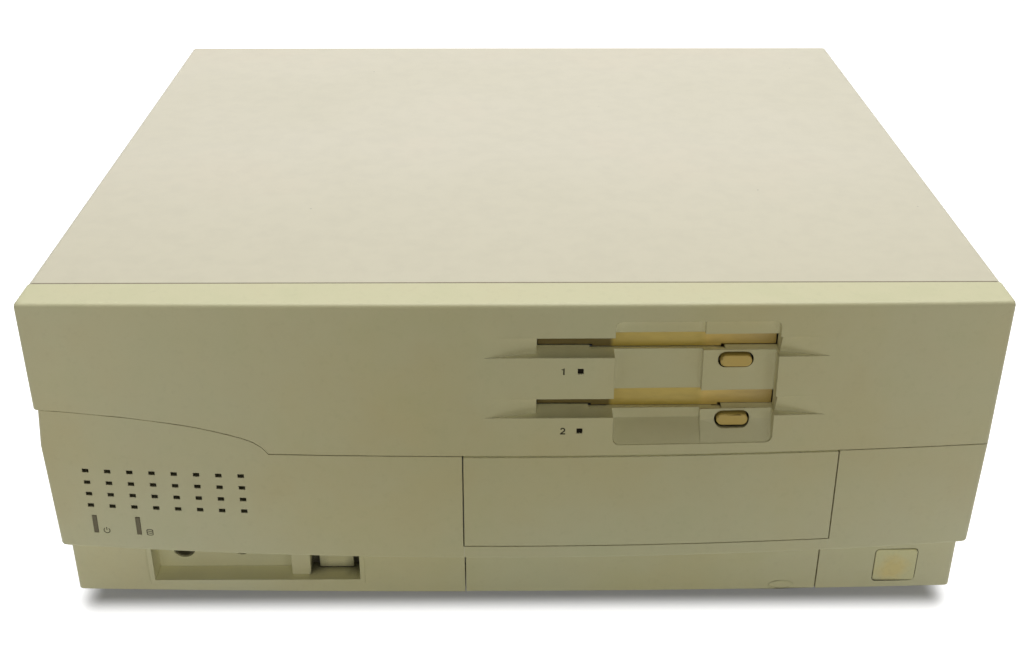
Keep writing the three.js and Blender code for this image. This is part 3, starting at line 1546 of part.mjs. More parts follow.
function makeRearPanel() {
  const y1 = panelY + plateSheet;
  const through = (outline) => prismY(outline, panelY - overrun, y1 + overrun);
  const plate = block(-innerHalf, innerHalf, panelY, y1, panTopZ + fitGap, coverTopZ - coverSheet - fitGap);
  const cutters = [
    through(circle(fanX, fanZ, fanBore, wideSides)),
    through(inletOutline(inletZ, fitGap)),
    through(inletOutline(outletZ, fitGap)),
    ...portPlaces().map(({ x, width }) => through(shellOutline(x, width, fitGap))),
    ...[-screwX, screwX].map((x) => through(circle(x, screwZ, screwShank + fitGap, pinSides))),
  ];
  for (let i = 0; i < slotCount; i += 1) {
    const z = slotBaseZ(i);
    cutters.push(through(rectangle(slotLeft, slotRight, z, z + slotOpening)));
  }
  return cut(plate, cutters);
}

function makePort({ x, width }) {
  const z0 = boardTopZ + fitGap;
  const z1 = boardTopZ + portRise + shellHeight / 2 + portTopMargin;
  const y1 = panelY - fitGap;
  const flangeY = y1 - portFlangeSheet;
  const half = width / 2 + portBodyLap;
  const reach = width / 2 + portEar;
  return join([
    block(x - reach, x + reach, flangeY, y1, z0, z1),
    block(x - half, x + half, flangeY - portBodyDepth, flangeY + weld, z0, z1 - portBodyLap),
    prismY(shellOutline(x, width, 0), y1 - weld, y1 + shellReach),
  ]);
}

// Flat cable from the floppy drives down to the main board
const ribbonThickness = 1;
const ribbonFall = 3.1;
const ribbonRise = 6;
const ribbonDip = 5;

function makeRibbon() {
  const x0 = headerX + ribbonThickness;
  const x1 = headerX + headerWidth - ribbonThickness;
  const fall = disksRearY + ribbonFall;
  const dip = boardTopZ + headerHeight + ribbonDip;
  const plug = headerY + headerLength / 2;
  const t = ribbonThickness;
  const run = (y0, y1, z) => block(x0, x1, y0, y1, z, z + t);
  return join([
    ...[0, 1].map((i) => run(frameY[i] + driveLength + fitGap, fall, driveZ[i] + ribbonRise)),
    block(x0, x1, fall - t, fall, dip, driveZ[0] + ribbonRise + t),
    run(fall - t, plug + t / 2, dip),
    block(x0, x1, plug - t / 2, plug + t / 2, boardTopZ + headerHeight + fitGap, dip + t),
  ]);
}

// Colours and finishes
const finishes = {
  coverPaint: { color: 0xddd6c3, roughness: 0.55, metalness: 0 },
  bezelPlastic: { color: 0xd4cfa7, roughness: 0.5, metalness: 0 },
  agedPlastic: { color: 0xcbb073, roughness: 0.5, metalness: 0 },
  greyPlastic: { color: 0x8d8a72, roughness: 0.45, metalness: 0 },
  blackPlastic: { color: 0x1f1e1c, roughness: 0.5, metalness: 0 },
  rubber: { color: 0x2c2b29, roughness: 0.8, metalness: 0 },
  steel: { color: 0xb9bab8, roughness: 0.4, metalness: 0.9 },
  castAlloy: { color: 0x9b9d9e, roughness: 0.5, metalness: 0.8 },
  circuitBoard: { color: 0x2f5a34, roughness: 0.5, metalness: 0 },
  ribbonGrey: { color: 0xa9a8a4, roughness: 0.6, metalness: 0 },
  paperCone: { color: 0x2b2a28, roughness: 0.9, metalness: 0 },
};

const computer = new THREE.Group();

function place(name, solid, finish) {
  const mesh = new THREE.Mesh(toGeometry(solid), new THREE.MeshStandardMaterial(finishes[finish]));
  mesh.name = name;
  computer.add(mesh);
}

place('top_cover', makeTopCover(), 'coverPaint');
place('chassis_pan', makePan(), 'steel');
place('front_plate', makeFrontPlate(), 'steel');
place('rear_panel', makeRearPanel(), 'steel');
place('upper_bezel', makeUpperBezel(), 'bezelPlastic');
place('lower_bezel', makeLowerBezel(), 'bezelPlastic');
place('bay_cover', makeBayCover(), 'bezelPlastic');
place('skirt_cover', makeSkirtCover(), 'bezelPlastic');
footPlaces.forEach(([name, x, y]) => place(`foot_${name}`, makeFoot(x, y), 'rubber'));
place('cover_screw_left', makeCoverScrew(-screwX), 'steel');
place('cover_screw_right', makeCoverScrew(screwX), 'steel');
place('power_button', makePowerButton(), 'agedPlastic');
place('power_switch', makePowerSwitch(), 'blackPlastic');
place('reset_button', makeResetButton(), 'bezelPlastic');
place('front_board', makeFrontBoard(), 'circuitBoard');
place('keyboard_socket', makeKeyboardSocket(), 'blackPlastic');
place('headphone_jack', makeHeadphoneJack(), 'blackPlastic');
place('power_light', makeLightBar(0), 'greyPlastic');
place('disk_light', makeLightBar(1), 'greyPlastic');
place('speaker', makeSpeaker(), 'paperCone');
place('drive_cage', makeDriveCage(), 'steel');
[0, 1].forEach((index) => {
  const number = index + 1;
  place(`floppy_frame_${number}`, makeFloppyFrame(index), 'castAlloy');
  place(`shutter_${number}`, makeShutter(index), 'agedPlastic');
  place(`eject_button_${number}`, makeEjectButton(index), 'agedPlastic');
  place(`drive_light_${number}`, makeDriveLamp(index), 'blackPlastic');
  place(`spindle_hub_${number}`, makeSpindle(index), 'steel');
  place(`head_carriage_${number}`, makeCarriage(index), 'blackPlastic');
  place(`lead_screw_${number}`, makeLeadScrew(index), 'steel');
});
place('hard_disk', makeHardDisk(), 'castAlloy');
place('main_board', makeMainBoard(), 'circuitBoard');
place('processor_heatsink', makeHeatsink(), 'castAlloy');
place('memory_module', makeMemory(), 'circuitBoard');
place('backplane', makeBackplane(), 'circuitBoard');
place('card_cage', makeCardCage(), 'steel');
for (let index = 0; index < slotCount; index += 1) {
  place(`slot_cover_${index + 1}`, makeSlotCover(index), 'coverPaint');
}
portPlaces().forEach((port) => place(port.name, makePort(port), 'steel'));
place('power_supply_case', makePsuCase(), 'steel');
place('power_supply_lid', makePsuLid(), 'steel');
place('power_supply_board', makePsuBoard(), 'circuitBoard');
place('fan_frame', makeFanFrame(), 'blackPlastic');
place('fan_rotor', makeFanRotor(), 'blackPlastic');
place('fan_guard', makeFanGuard(), 'steel');
place('mains_inlet', makeMainsInlet(), 'blackPlastic');
place('mains_outlet', makeMainsOutlet(), 'blackPlastic');
place('drive_cable', makeRibbon(), 'ribbonGrey');

// Centre the whole over its footprint
const bounds = new THREE.Box3().setFromObject(computer);
computer.children.forEach((mesh) => mesh.geometry.translate(0, -(bounds.min.y + bounds.max.y) / 2, 0));

export default computer;
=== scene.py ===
"""Looks of a vintage desktop home computer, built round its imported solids.

The file is laid out as an add-on: settings, one operator for each piece or group of like pieces,
a panel that lists them, and a main function that runs them in order.
Lengths in the settings and named sizes are millimetres where no comment says metres; everything
that is made is in metres.
"""
import json
import math

import bmesh
import bpy
from bpy.props import FloatProperty, FloatVectorProperty, PointerProperty, StringProperty
from mathutils import Matrix, Vector
from mathutils.bvhtree import BVHTree

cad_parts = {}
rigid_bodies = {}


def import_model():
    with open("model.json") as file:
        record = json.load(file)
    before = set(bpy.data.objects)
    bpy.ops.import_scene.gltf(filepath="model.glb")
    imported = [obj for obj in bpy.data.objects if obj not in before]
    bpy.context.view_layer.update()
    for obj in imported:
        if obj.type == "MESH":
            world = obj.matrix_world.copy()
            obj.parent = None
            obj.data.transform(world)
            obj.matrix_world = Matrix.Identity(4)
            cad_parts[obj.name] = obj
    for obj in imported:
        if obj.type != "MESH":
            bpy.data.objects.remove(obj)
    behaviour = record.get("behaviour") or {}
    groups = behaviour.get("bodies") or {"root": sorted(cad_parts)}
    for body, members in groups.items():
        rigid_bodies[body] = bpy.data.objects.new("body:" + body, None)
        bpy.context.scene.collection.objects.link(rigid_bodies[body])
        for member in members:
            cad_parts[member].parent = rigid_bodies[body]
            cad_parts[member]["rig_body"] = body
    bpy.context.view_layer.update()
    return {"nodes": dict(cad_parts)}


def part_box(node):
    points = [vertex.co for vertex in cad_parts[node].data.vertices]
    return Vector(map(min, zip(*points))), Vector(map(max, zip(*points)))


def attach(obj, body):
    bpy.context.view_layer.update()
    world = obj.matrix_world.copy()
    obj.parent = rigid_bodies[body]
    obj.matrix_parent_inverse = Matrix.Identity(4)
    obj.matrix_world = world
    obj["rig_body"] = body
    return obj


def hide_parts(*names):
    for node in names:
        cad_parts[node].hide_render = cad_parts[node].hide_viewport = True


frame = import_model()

bl_info = {
    "name": "Vintage desktop computer",
    "version": (1, 0, 0),
    "blender": (4, 5, 0),
    "location": "3D View > Sidebar > Desktop computer",
    "description": "Finishes and small pieces of a beige desktop system unit",
    "category": "Object",
}

MM = 0.001
MACHINE = "machine"


# Settings


class MouldingSettings(bpy.types.PropertyGroup):
    """Sizes and colours of the plastic front."""

    edge: FloatProperty(name="Edge radius", description="Rounding of the moulded edges, in mm",
                        default=0.4, min=0.0)
    texture: FloatProperty(name="Texture pitch", description="Pitch of the spark-eroded texture, in mm",
                           default=0.55, min=0.1)
    plastic: StringProperty(name="Plastic", description="Colour where the mouldings yellowed least",
                            default="#D6D2AA")
    eject: StringProperty(name="Eject buttons", description="Colour of the eject buttons",
                          default="#AE9547")
    flap: StringProperty(name="Slot flaps", description="Colour of the flaps where light reached them",
                         default="#B59D45")
    print_ink: StringProperty(name="Ink", description="Colour of the printed marks", default="#2E2A18")


class CoverSettings(bpy.types.PropertyGroup):
    """Sizes and colours of the painted cover."""

    paint: StringProperty(name="Paint", description="Colour of the baked paint", default="#DED8C3")
    texture: FloatProperty(name="Paint texture", description="Pitch of the paint's fine pebbling, in mm",
                           default=0.7, min=0.1)
    edge: FloatProperty(name="Fold radius", description="Rounding of the sheet's cut edges, in mm",
                        default=0.25, min=0.0)


class StageSettings(bpy.types.PropertyGroup):
    """Camera, lamps and floor."""

    lens: FloatProperty(name="Lens", description="Focal length on a 36 mm frame", default=46.77,
                        unit="CAMERA")
    camera_place: FloatVectorProperty(name="Camera place", description="Place of the camera, in mm",
                                      default=(-5.936, -614.28, 379.729))
    camera_turn: FloatVectorProperty(name="Camera turn", description="Yaw, downward pitch and roll",
                                     default=(0.0095373, 0.4929552, 0.0020088), unit="ROTATION")
    overhead: FloatProperty(name="Overhead", description="Strength of the lamp over the machine",
                            default=34.0)
    fill: FloatProperty(name="Fill", description="Strength of the low lamp in front", default=8.5)
    sky: FloatProperty(name="Sky", description="Strength of the light from all round", default=0.05)
    shadow: FloatProperty(name="Shadow reach", description="Width of the floor shadow's fade, in mm",
                          default=15.0)
    shadow_start: FloatProperty(name="Shadow start", default=9.5,
                                description="How far inside the outline the fade starts, in mm")
    floor: StringProperty(name="Floor", description="Colour of the floor", default="#EEEEEB")


def settings():
    scene = bpy.context.scene
    return scene.moulding_settings, scene.cover_settings, scene.stage_settings


# Colours, nodes and materials

NOISE = "ShaderNodeTexNoise"
CELLS = "ShaderNodeTexVoronoi"
RAMP = "ShaderNodeValToRGB"
RANGE = "ShaderNodeMapRange"
OPENNESS = "ShaderNodeAmbientOcclusion"
MAPPING = "ShaderNodeMapping"
MATH = "ShaderNodeMath"
VECTOR = "ShaderNodeVectorMath"
SPLIT = "ShaderNodeSeparateXYZ"
WHITE = (1.0, 1.0, 1.0, 1.0)

# A mix node takes its two colours on inputs 6 and 7 and gives the mixed one on output 2
MIX = "ShaderNodeMix"
TINT = {"out": 2, "data_type": "RGBA"}
SOIL = {"out": 2, "data_type": "RGBA", "blend_type": "MULTIPLY"}


def linear(hex_colour):
    """Turns an sRGB hex colour into a linear one with full opacity."""
    values = []
    for i in (1, 3, 5):
        v = int(hex_colour[i:i + 2], 16) / 255
        values.append(v / 12.92 if v <= 0.04045 else ((v + 0.055) / 1.055) ** 2.4)
    return (*values, 1.0)


def scaled(colour, *factors):
    """The same colour with its parts multiplied, all by one factor or each by its own."""
    shares = factors if len(factors) == 3 else factors * 3
    return (*(min(1.0, c * share) for c, share in zip(colour, shares)), 1.0)


def grey(level):
    return (level, level, level, 1.0)


def levels(start, low, end, high):
    """Two stops that turn a pattern into a plain level, such as a roughness."""
    return [(start, grey(low)), (end, grey(high))]


def per(size):
    """The scale of a pattern whose marks are about size millimetres across."""
    return 1.0 / (size * MM)


def add(tree, kind, inputs=None, out=0, stops=(), **options):
    """Adds a node with its options, colour stops, values and links, and gives one of its outputs."""
    made = tree.nodes.new(kind)
    for name, value in options.items():
        setattr(made, name, value)
    for key, value in (inputs or {}).items():
        if isinstance(value, bpy.types.NodeSocket):
            tree.links.new(value, made.inputs[key])
        else:
            made.inputs[key].default_value = value
    band = made.color_ramp.elements if stops else ()
    while len(band) < len(stops):
        band.new(0.5)
    for element, (place, colour) in zip(band, stops):
        element.position = place
        element.color = colour
    return made.outputs[out] if made.outputs else made


def new_material(name, **constants):
    """A material with one shader, its constant values set on the shader's own sockets."""
    material = bpy.data.materials.new(name)
    material.use_nodes = True
    tree = material.node_tree
    tree.nodes.clear()
    shader = add(tree, "ShaderNodeBsdfPrincipled", constants)
    add(tree, "ShaderNodeOutputMaterial", {"Surface": shader})
    place = add(tree, "ShaderNodeTexCoord", out="Object")
    return material, tree, shader.node, place


def surfaced(tree, shader, colour, roughness, height=None, depth=0.0, strength=0.5, edge=0.0):
    """Links a shader's colour and roughness, and its relief: depth and edge radius in millimetres."""
    tree.links.new(colour, shader.inputs["Base Color"])
    tree.links.new(roughness, shader.inputs["Roughness"])
    if height:
        relief = {"Height": height, "Distance": depth * MM, "Strength": strength}
        if edge:
            relief["Normal"] = add(tree, "ShaderNodeBevel", {"Radius": edge * MM}, samples=6)
        tree.links.new(add(tree, "ShaderNodeBump", relief), shader.inputs["Normal"])


# Behind the cover's front edge: where the darkening toward the front ends, and where the painted
# shade along the seam begins and where it is darkest
FRONT_TINT_REACH = 150.0
JOINT_SHADE_START = 1.1
JOINT_SHADE_FULL = 0.7


def pebbled_paint(name, colour, pitch, front):
    """Baked textured enamel over sheet steel.

    Sprayed thick and baked, it dries to low pebbles: the eye sees a soft broad sheen, never a
    mirror, with faint clouds where hands and dust have dulled it. It is darker and yellower
    toward the front, and painted shade darkens the seam there, for the shade in the gap between
    the cover and the front. The real pebbles are too fine for the picture, so they are drawn
    coarser.
    """
    material, tree, shader, place = new_material(name, IOR=1.5)
    base = linear(colour)
    clouds = add(tree, NOISE, {"Vector": place, "Scale": per(140), "Detail": 4.0, "Roughness": 0.55})
    tone = add(tree, RAMP, {0: clouds}, stops=[(0.32, scaled(base, 0.97, 0.97, 0.95)), (0.52, base),
                                               (0.7, scaled(base, 1.025, 1.0, 1.0))])
    depth = add(tree, SPLIT, {0: place}, "Y")
    # Darker and yellower toward the front
    graded = add(tree, RANGE, {"Value": depth, "From Min": front + FRONT_TINT_REACH * MM, "From Max": front})
    tone = add(tree, MIX, {0: graded, 6: tone, 7: scaled(base, 0.93, 0.925, 0.87)}, **TINT)
    # Painted shade: a dark band along the cover's front edge, for the shade in the gap at the seam
    joint = add(tree, RANGE, {"Value": depth, "From Min": front + JOINT_SHADE_START * MM,
                              "From Max": front + JOINT_SHADE_FULL * MM})
    tone = add(tree, MIX, {0: joint, 6: tone, 7: scaled(base, 0.3, 0.27, 0.2)}, **TINT)
    fine = add(tree, NOISE, {"Vector": place, "Scale": per(9), "Detail": 3.0, "Roughness": 0.55})
    soiled = add(tree, RAMP, {0: fine}, stops=levels(0.3, 0.965, 0.6, 1.0))
    tone = add(tree, MIX, {0: 1.0, 6: tone, 7: soiled}, **SOIL)
    pebbles = add(tree, NOISE, {"Vector": place, "Scale": per(pitch), "Detail": 2.0, "Roughness": 0.5})
    dulled = add(tree, RAMP, {0: clouds}, stops=levels(0.3, 0.44, 0.7, 0.56))
    surfaced(tree, shader, specked(tree, tone, base, place), dulled, pebbles, depth=0.035, strength=0.7)
    return material


def specked(tree, tone, base, place):
    """Adds the few small dark specks that stains and chips leave."""
    cells = add(tree, CELLS, {"Vector": place, "Scale": per(11)}, "Distance")
    speck = add(tree, RAMP, {0: cells}, stops=levels(0.035, 0.0, 0.055, 1.0))
    few = add(tree, NOISE, {"Vector": place, "Scale": per(30), "Detail": 2.0, "Roughness": 0.55})
    bare = add(tree, RAMP, {0: few}, stops=levels(0.56, 1.0, 0.66, 0.0))
    clear = add(tree, MIX, {0: 1.0, 6: speck, 7: bare}, 2, data_type="RGBA", blend_type="ADD")
    return add(tree, MIX, {0: clear, 6: scaled(base, 0.62), 7: tone}, **TINT)


def moulded_abs(name, colour, pitch, edge=0.0, box=None, deep=(), lines=()):
    """Injection-moulded ABS with a spark-eroded texture, yellowed by years of light.

    The fine matt texture spreads the light evenly, and the yellowing comes in broad soft clouds
    with slightly greener and pinker patches. The real texture is too fine for the picture, so it
    is drawn coarser. A front that fills a box gets painted light and shade as a whole: lighter at
    its ends and foot, paler in wide recesses and darker in narrow joints. Deep places in it are two
    corners and a reach each, where painted shade makes it nearly black, and lines are where marks of
    the mould stand.
    """
    material, tree, shader, place = new_material(name, IOR=1.53)
    base = linear(colour)
    split = add(tree, SPLIT, {0: place}).node.outputs
    clouds = add(tree, NOISE, {"Vector": place, "Scale": per(95), "Detail": 4.0, "Roughness": 0.55})
    tone = add(tree, RAMP, {0: clouds}, stops=[(0.36, scaled(base, 1.0, 0.965, 0.88)), (0.56, base),
                                               (0.72, scaled(base, 0.985, 1.0, 1.03))])
    if box:
        # Painted light and shade over the whole front, partly yellowing
        tone = yellowed(tree, tone, base, split, box)
    moved = add(tree, MAPPING, {"Vector": place, "Location": (0.31, 0.17, 0.05)})
    patches = add(tree, NOISE, {"Vector": moved, "Scale": per(22), "Detail": 3.0, "Roughness": 0.55})
    blotch = add(tree, RAMP, {0: patches}, stops=[(0.3, (0.965, 0.975, 0.95, 1)), (0.5, WHITE),
                                                  (0.72, (1.0, 0.985, 0.985, 1))])
    tone = add(tree, MIX, {0: 1.0, 6: tone, 7: blotch}, **SOIL)
    dust = add(tree, NOISE, {"Vector": place, "Scale": per(3.2), "Detail": 5.0, "Roughness": 0.65})
    dusty = add(tree, RAMP, {0: dust}, stops=levels(0.28, 0.93, 0.46, 1.0))
    tone = add(tree, MIX, {0: 0.6, 6: tone, 7: dusty}, **SOIL)
    if box:
        tone = recess_light_and_joint_shade(tree, tone, base)
    for low, high, reach in deep:
        tone = painted_deep_shade(tree, tone, split, low, high, reach)
    for x in lines:
        tone = witness_mark(tree, tone, base, split, x)
    dulled = add(tree, RAMP, {0: patches}, stops=levels(0.3, 0.47, 0.7, 0.57))
    texture = add(tree, NOISE, {"Vector": place, "Scale": per(pitch), "Detail": 2.0, "Roughness": 0.6})
    surfaced(tree, shader, tone, dulled, texture, depth=0.03, strength=0.6, edge=edge)
    return material


# Heights between which the painted shade grows upward, and how far below the top the first
# colour comes back
SHADE_FOOT = 8.0
SHADE_TOP = 80.0
STRIP_DEPTH = 1.0


def yellowed(tree, tone, base, split, box):
    """Paints light on a front: lighter toward its ends, for the light from the sides, and toward its
    foot, for the light thrown up from the floor; the tint of the change is partly the yellowing.

    The strip along its top keeps the first colour, lighter than the face below it.
    """
    low, high = box
    middle_shade = (0.775, 0.775, 0.71, 1)
    # Painted light, partly yellowing: the ends lighter and less yellow than the middle, for side light
    across = add(tree, RANGE, {"Value": split["X"], "From Min": low.x, "From Max": high.x})
    graded = add(tree, RAMP, {0: across}, stops=[(0.04, WHITE), (0.45, middle_shade), (0.68, middle_shade),
                                               (1.0, grey(0.9))])
    tone = add(tree, MIX, {0: 1.0, 6: tone, 7: graded}, **SOIL)
    # Painted shade: darker higher up, for less light thrown up from the floor
    upward = add(tree, RANGE, {"Value": split["Z"], "From Min": SHADE_FOOT * MM,
                               "From Max": SHADE_TOP * MM})
    graded = add(tree, RAMP, {0: upward}, stops=[(0.0, WHITE), (0.45, grey(0.9)),
                                               (1.0, (0.82, 0.79, 0.72, 1))])
    tone = add(tree, MIX, {0: 1.0, 6: tone, 7: graded}, **SOIL)
    above = add(tree, RANGE, {"Value": split["Z"], "From Min": high.z - STRIP_DEPTH * MM,
                              "From Max": high.z})
    return add(tree, MIX, {0: above, 6: tone, 7: base}, **TINT)


# How wide a recess and a joint may be to count as one, for the painted light in recesses
# and the painted shade in joints
RECESS_REACH = 14.0
JOINT_SHADE_REACH = 1.0


def recess_light_and_joint_shade(tree, tone, base):
    """Paints light into wide recesses, which come out paler, and shade into narrow joints and creases."""
    # Painted light: wide recesses get a paler colour
    lit = add(tree, OPENNESS, {"Distance": RECESS_REACH * MM}, "AO", samples=4)
    recess_light = add(tree, RAMP, {0: lit}, stops=levels(0.25, 1.0, 0.64, 0.0))
    tone = add(tree, MIX, {0: recess_light, 6: tone, 7: scaled(base, 1.1)}, **TINT)
    # Painted shade: narrow joints and creases get darker
    held = add(tree, OPENNESS, {"Distance": JOINT_SHADE_REACH * MM}, "AO", samples=4)
    grime_and_shade = add(tree, RAMP, {0: held}, stops=[(0.12, (0.4, 0.35, 0.24, 1)), (0.4, WHITE)])
    return add(tree, MIX, {0: 1.0, 6: tone, 7: grime_and_shade}, **SOIL)


def within(tree, split, low, high):
    """One between two corners across and up, and zero outside them."""
    middle, half = (low + high) / 2, (high - low) / 2
    across = add(tree, MATH, {0: split["X"], 1: middle.x, 2: half.x}, operation="COMPARE")
    up = add(tree, MATH, {0: split["Z"], 1: middle.z, 2: half.z}, operation="COMPARE")
    return add(tree, MATH, {0: across, 1: up}, operation="MULTIPLY")


def painted_deep_shade(tree, tone, split, low, high, reach):
    """Paints shade: plastic nearly black between two corners, where a hole is narrower than the reach."""
    openness = add(tree, OPENNESS, {"Distance": reach * MM}, "AO", samples=4)
    dark = add(tree, RAMP, {0: openness}, stops=[(0.4, (0.04, 0.035, 0.015, 1)), (0.7, WHITE)])
    return add(tree, MIX, {0: within(tree, split, low, high), 6: tone, 7: dark}, **SOIL)


# Heights between which a witness mark runs, and half its width
WITNESS_FOOT = 38.5
WITNESS_TOP = 43.6
WITNESS_HALF = 0.16


def witness_mark(tree, tone, base, split, x):
    """Adds the faint upright mark that a division of the mould leaves, at x metres across."""
    low = Vector((x - WITNESS_HALF * MM, 0.0, WITNESS_FOOT * MM))
    high = Vector((x + WITNESS_HALF * MM, 0.0, WITNESS_TOP * MM))
    return add(tree, MIX, {0: within(tree, split, low, high), 6: tone, 7: scaled(base, 0.74)}, **TINT)


def fingered_abs(name, edge_colour, centre_colour, centre, reach):
    """Moulded ABS key that fingers have polished: yellower and smoother in the middle."""
    material, tree, shader, place = new_material(name, IOR=1.53)
    offset = add(tree, VECTOR, {0: place, 1: centre}, operation="SUBTRACT")
    shaped = add(tree, VECTOR, {0: offset, 1: tuple(1 / r for r in reach)}, operation="MULTIPLY")
    distance = add(tree, VECTOR, {0: shaped}, "Value", operation="LENGTH")
    blots = add(tree, NOISE, {"Vector": place, "Scale": per(4.5), "Detail": 3.0, "Roughness": 0.55})
    uneven = add(tree, MATH, {0: blots, 1: 0.7, 2: -0.35}, operation="MULTIPLY_ADD")
    spread = add(tree, MATH, {0: distance, 1: uneven}, operation="ADD")
    tone = add(tree, RAMP, {0: spread}, stops=[(0.35, linear(centre_colour)), (0.95, linear(edge_colour))])
    dust = add(tree, NOISE, {"Vector": place, "Scale": per(1.4), "Detail": 4.0, "Roughness": 0.55})
    grime_and_shade = add(tree, RAMP, {0: dust}, stops=levels(0.3, 0.93, 0.5, 1.0))
    tone = add(tree, MIX, {0: 1.0, 6: tone, 7: grime_and_shade}, **SOIL)
    polish = add(tree, RAMP, {0: spread}, stops=levels(0.3, 0.3, 0.9, 0.48))
    texture = add(tree, NOISE, {"Vector": place, "Scale": per(0.6), "Detail": 3.0, "Roughness": 0.55})
    surfaced(tree, shader, tone, polish, texture, depth=0.02, strength=0.4)
    return material


# A flap's width, how far right of the bay's middle its own lies, and how far to the left and right
# of that its lit part reaches; outside it the shade is painted
FLAP_WIDTH = 94.0
FLAP_SHIFT = 1.1
LIT_LEFT = 17.2
LIT_RIGHT = 17.8


def flap_abs_with_painted_shade(name, colour, bay):
    """Moulded ochre ABS, with shade painted where the flap lies behind the moulding.

    It is ochre in the middle; painted shade makes it a greyer brown at the right and dark brown
    at the left, where the flap lies deep behind the moulding.
    """
    material, tree, shader, place = new_material(name, IOR=1.53)
    base = linear(colour)
    middle = (bay[0].x + bay[1].x) / 2 + FLAP_SHIFT * MM
    half = FLAP_WIDTH * MM / 2
    across = add(tree, SPLIT, {0: place}, "X")
    share = add(tree, RANGE, {"Value": across, "From Min": middle - half, "From Max": middle + half})
    left, right = 0.5 - LIT_LEFT / FLAP_WIDTH, 0.5 + LIT_RIGHT / FLAP_WIDTH
    # Painted shade: dark brown at the left, greyer browns at the right
    tone = add(tree, RAMP, {0: share}, stops=[
        (left - 0.012, linear("#6B5C2A")), (left + 0.004, base), (right - 0.01, base),
        (right + 0.02, linear("#C9AC58")), (0.94, linear("#AE9550"))])
    drawn = add(tree, MAPPING, {"Vector": place, "Scale": (1.0, 1.0, 4.0)})
    streak = add(tree, NOISE, {"Vector": drawn, "Scale": per(7), "Detail": 3.0, "Roughness": 0.55})
    streaks = add(tree, RAMP, {0: streak}, stops=levels(0.3, 0.9, 0.6, 1.0))
    tone = add(tree, MIX, {0: 1.0, 6: tone, 7: streaks}, **SOIL)
    dulled = add(tree, RAMP, {0: share}, stops=levels(0.0, 0.5, 1.0, 0.42))
    texture = add(tree, NOISE, {"Vector": place, "Scale": per(0.6), "Detail": 3.0, "Roughness": 0.55})
    surfaced(tree, shader, tone, dulled, texture, depth=0.02, strength=0.4)
    return material


def zinc_sheet(name):
    """Zinc-plated sheet steel: pale flat crystals over a rolled surface, so it glints in patches."""
    material, tree, shader, place = new_material(name, Metallic=1.0)
    base = linear("#A0A29F")
    crystals = add(tree, CELLS, {"Vector": place, "Scale": per(7)}, "Color")
    level = add(tree, "ShaderNodeSeparateColor", {0: crystals}, "Red")
    tone = add(tree, RAMP, {0: level}, stops=[(0.0, scaled(base, 0.9)), (1.0, base)])
    rolled = add(tree, NOISE, {"Vector": place, "Scale": per(1.6), "Detail": 3.0, "Roughness": 0.55})
    dulled = add(tree, RAMP, {0: rolled}, stops=levels(0.3, 0.3, 0.7, 0.44))
    surfaced(tree, shader, tone, dulled, rolled, depth=0.01, strength=0.4)
    return material


def moulded_nylon(name, colour="#1E1D1B", shine=0.4):
    """Glass-filled nylon or polyester, black: fine fibres give it a slightly silky matt skin."""
    material, tree, shader, place = new_material(name, IOR=1.53)
    base = linear(colour)
    drawn = add(tree, MAPPING, {"Vector": place, "Scale": (1.0, 3.0, 1.0)})
    fibre = add(tree, NOISE, {"Vector": drawn, "Scale": per(1.2), "Detail": 3.0, "Roughness": 0.55})
    tone = add(tree, RAMP, {0: fibre}, stops=[(0.3, base), (0.75, scaled(base, 1.5))])
    dulled = add(tree, RAMP, {0: fibre}, stops=levels(0.3, shine, 0.7, shine + 0.14))
    surfaced(tree, shader, tone, dulled, fibre, depth=0.012)
    return material


def foot_rubber(name):
    """Moulded nitrile rubber: dull, dark, with dust held in its pores."""
    material, tree, shader, place = new_material(name, IOR=1.52)
    dust = add(tree, NOISE, {"Vector": place, "Scale": per(2.6), "Detail": 5.0, "Roughness": 0.7})
    tone = add(tree, RAMP, {0: dust}, stops=[(0.35, linear("#34322F")), (0.75, linear("#5C5951"))])
    dulled = add(tree, RAMP, {0: dust}, stops=levels(0.3, 0.7, 0.7, 0.86))
    pores = add(tree, NOISE, {"Vector": place, "Scale": per(0.5), "Detail": 3.0, "Roughness": 0.55})
    surfaced(tree, shader, tone, dulled, pores, depth=0.03, strength=0.6)
    return material


def plain_finish(name, stops, dull, size, detail=3.0, rough=0.55, depth=0.0, strength=0.5, **constants):
    """A material whose tone, dullness and relief follow one pattern of about size millimetres."""
    material, tree, shader, place = new_material(name, **constants)
    skin = add(tree, NOISE, {"Vector": place, "Scale": per(size), "Detail": detail, "Roughness": rough})
    tone = add(tree, RAMP, {0: skin}, stops=stops)
    dulled = add(tree, RAMP, {0: skin}, stops=levels(0.3, dull[0], 0.7, dull[1]))
    surfaced(tree, shader, tone, dulled, skin if depth else None, depth, strength)
    return material


def cast_alloy(name):
    """Die-cast zinc-aluminium alloy: matt silver with a faint sandy skin from the mould."""
    base = linear("#A3A5A6")
    return plain_finish(name, [(0.3, scaled(base, 0.86)), (0.7, base)], (0.42, 0.58), size=0.9, detail=4.0,
                        depth=0.03, strength=0.6, Metallic=1.0)


def plated_contact(name, colour):
    """Bright plating over brass, as on connector pins and jack screws."""
    base = linear(colour)
    return plain_finish(name, [(0.3, scaled(base, 0.85)), (0.7, base)], (0.22, 0.34), size=0.8,
                        Metallic=1.0)


def smoked_acrylic(name, colour, shine, gloss):
    """Smoked acrylic lens: dark, with a soft highlight on its scuffed face and some depth of tone."""
    base = linear(colour)
    return plain_finish(name, [(0.3, scaled(base, 0.75)), (0.7, base)], (shine, shine + 0.08), size=1.6,
                        detail=2.0, **{"IOR": 1.49, "Specular IOR Level": gloss})


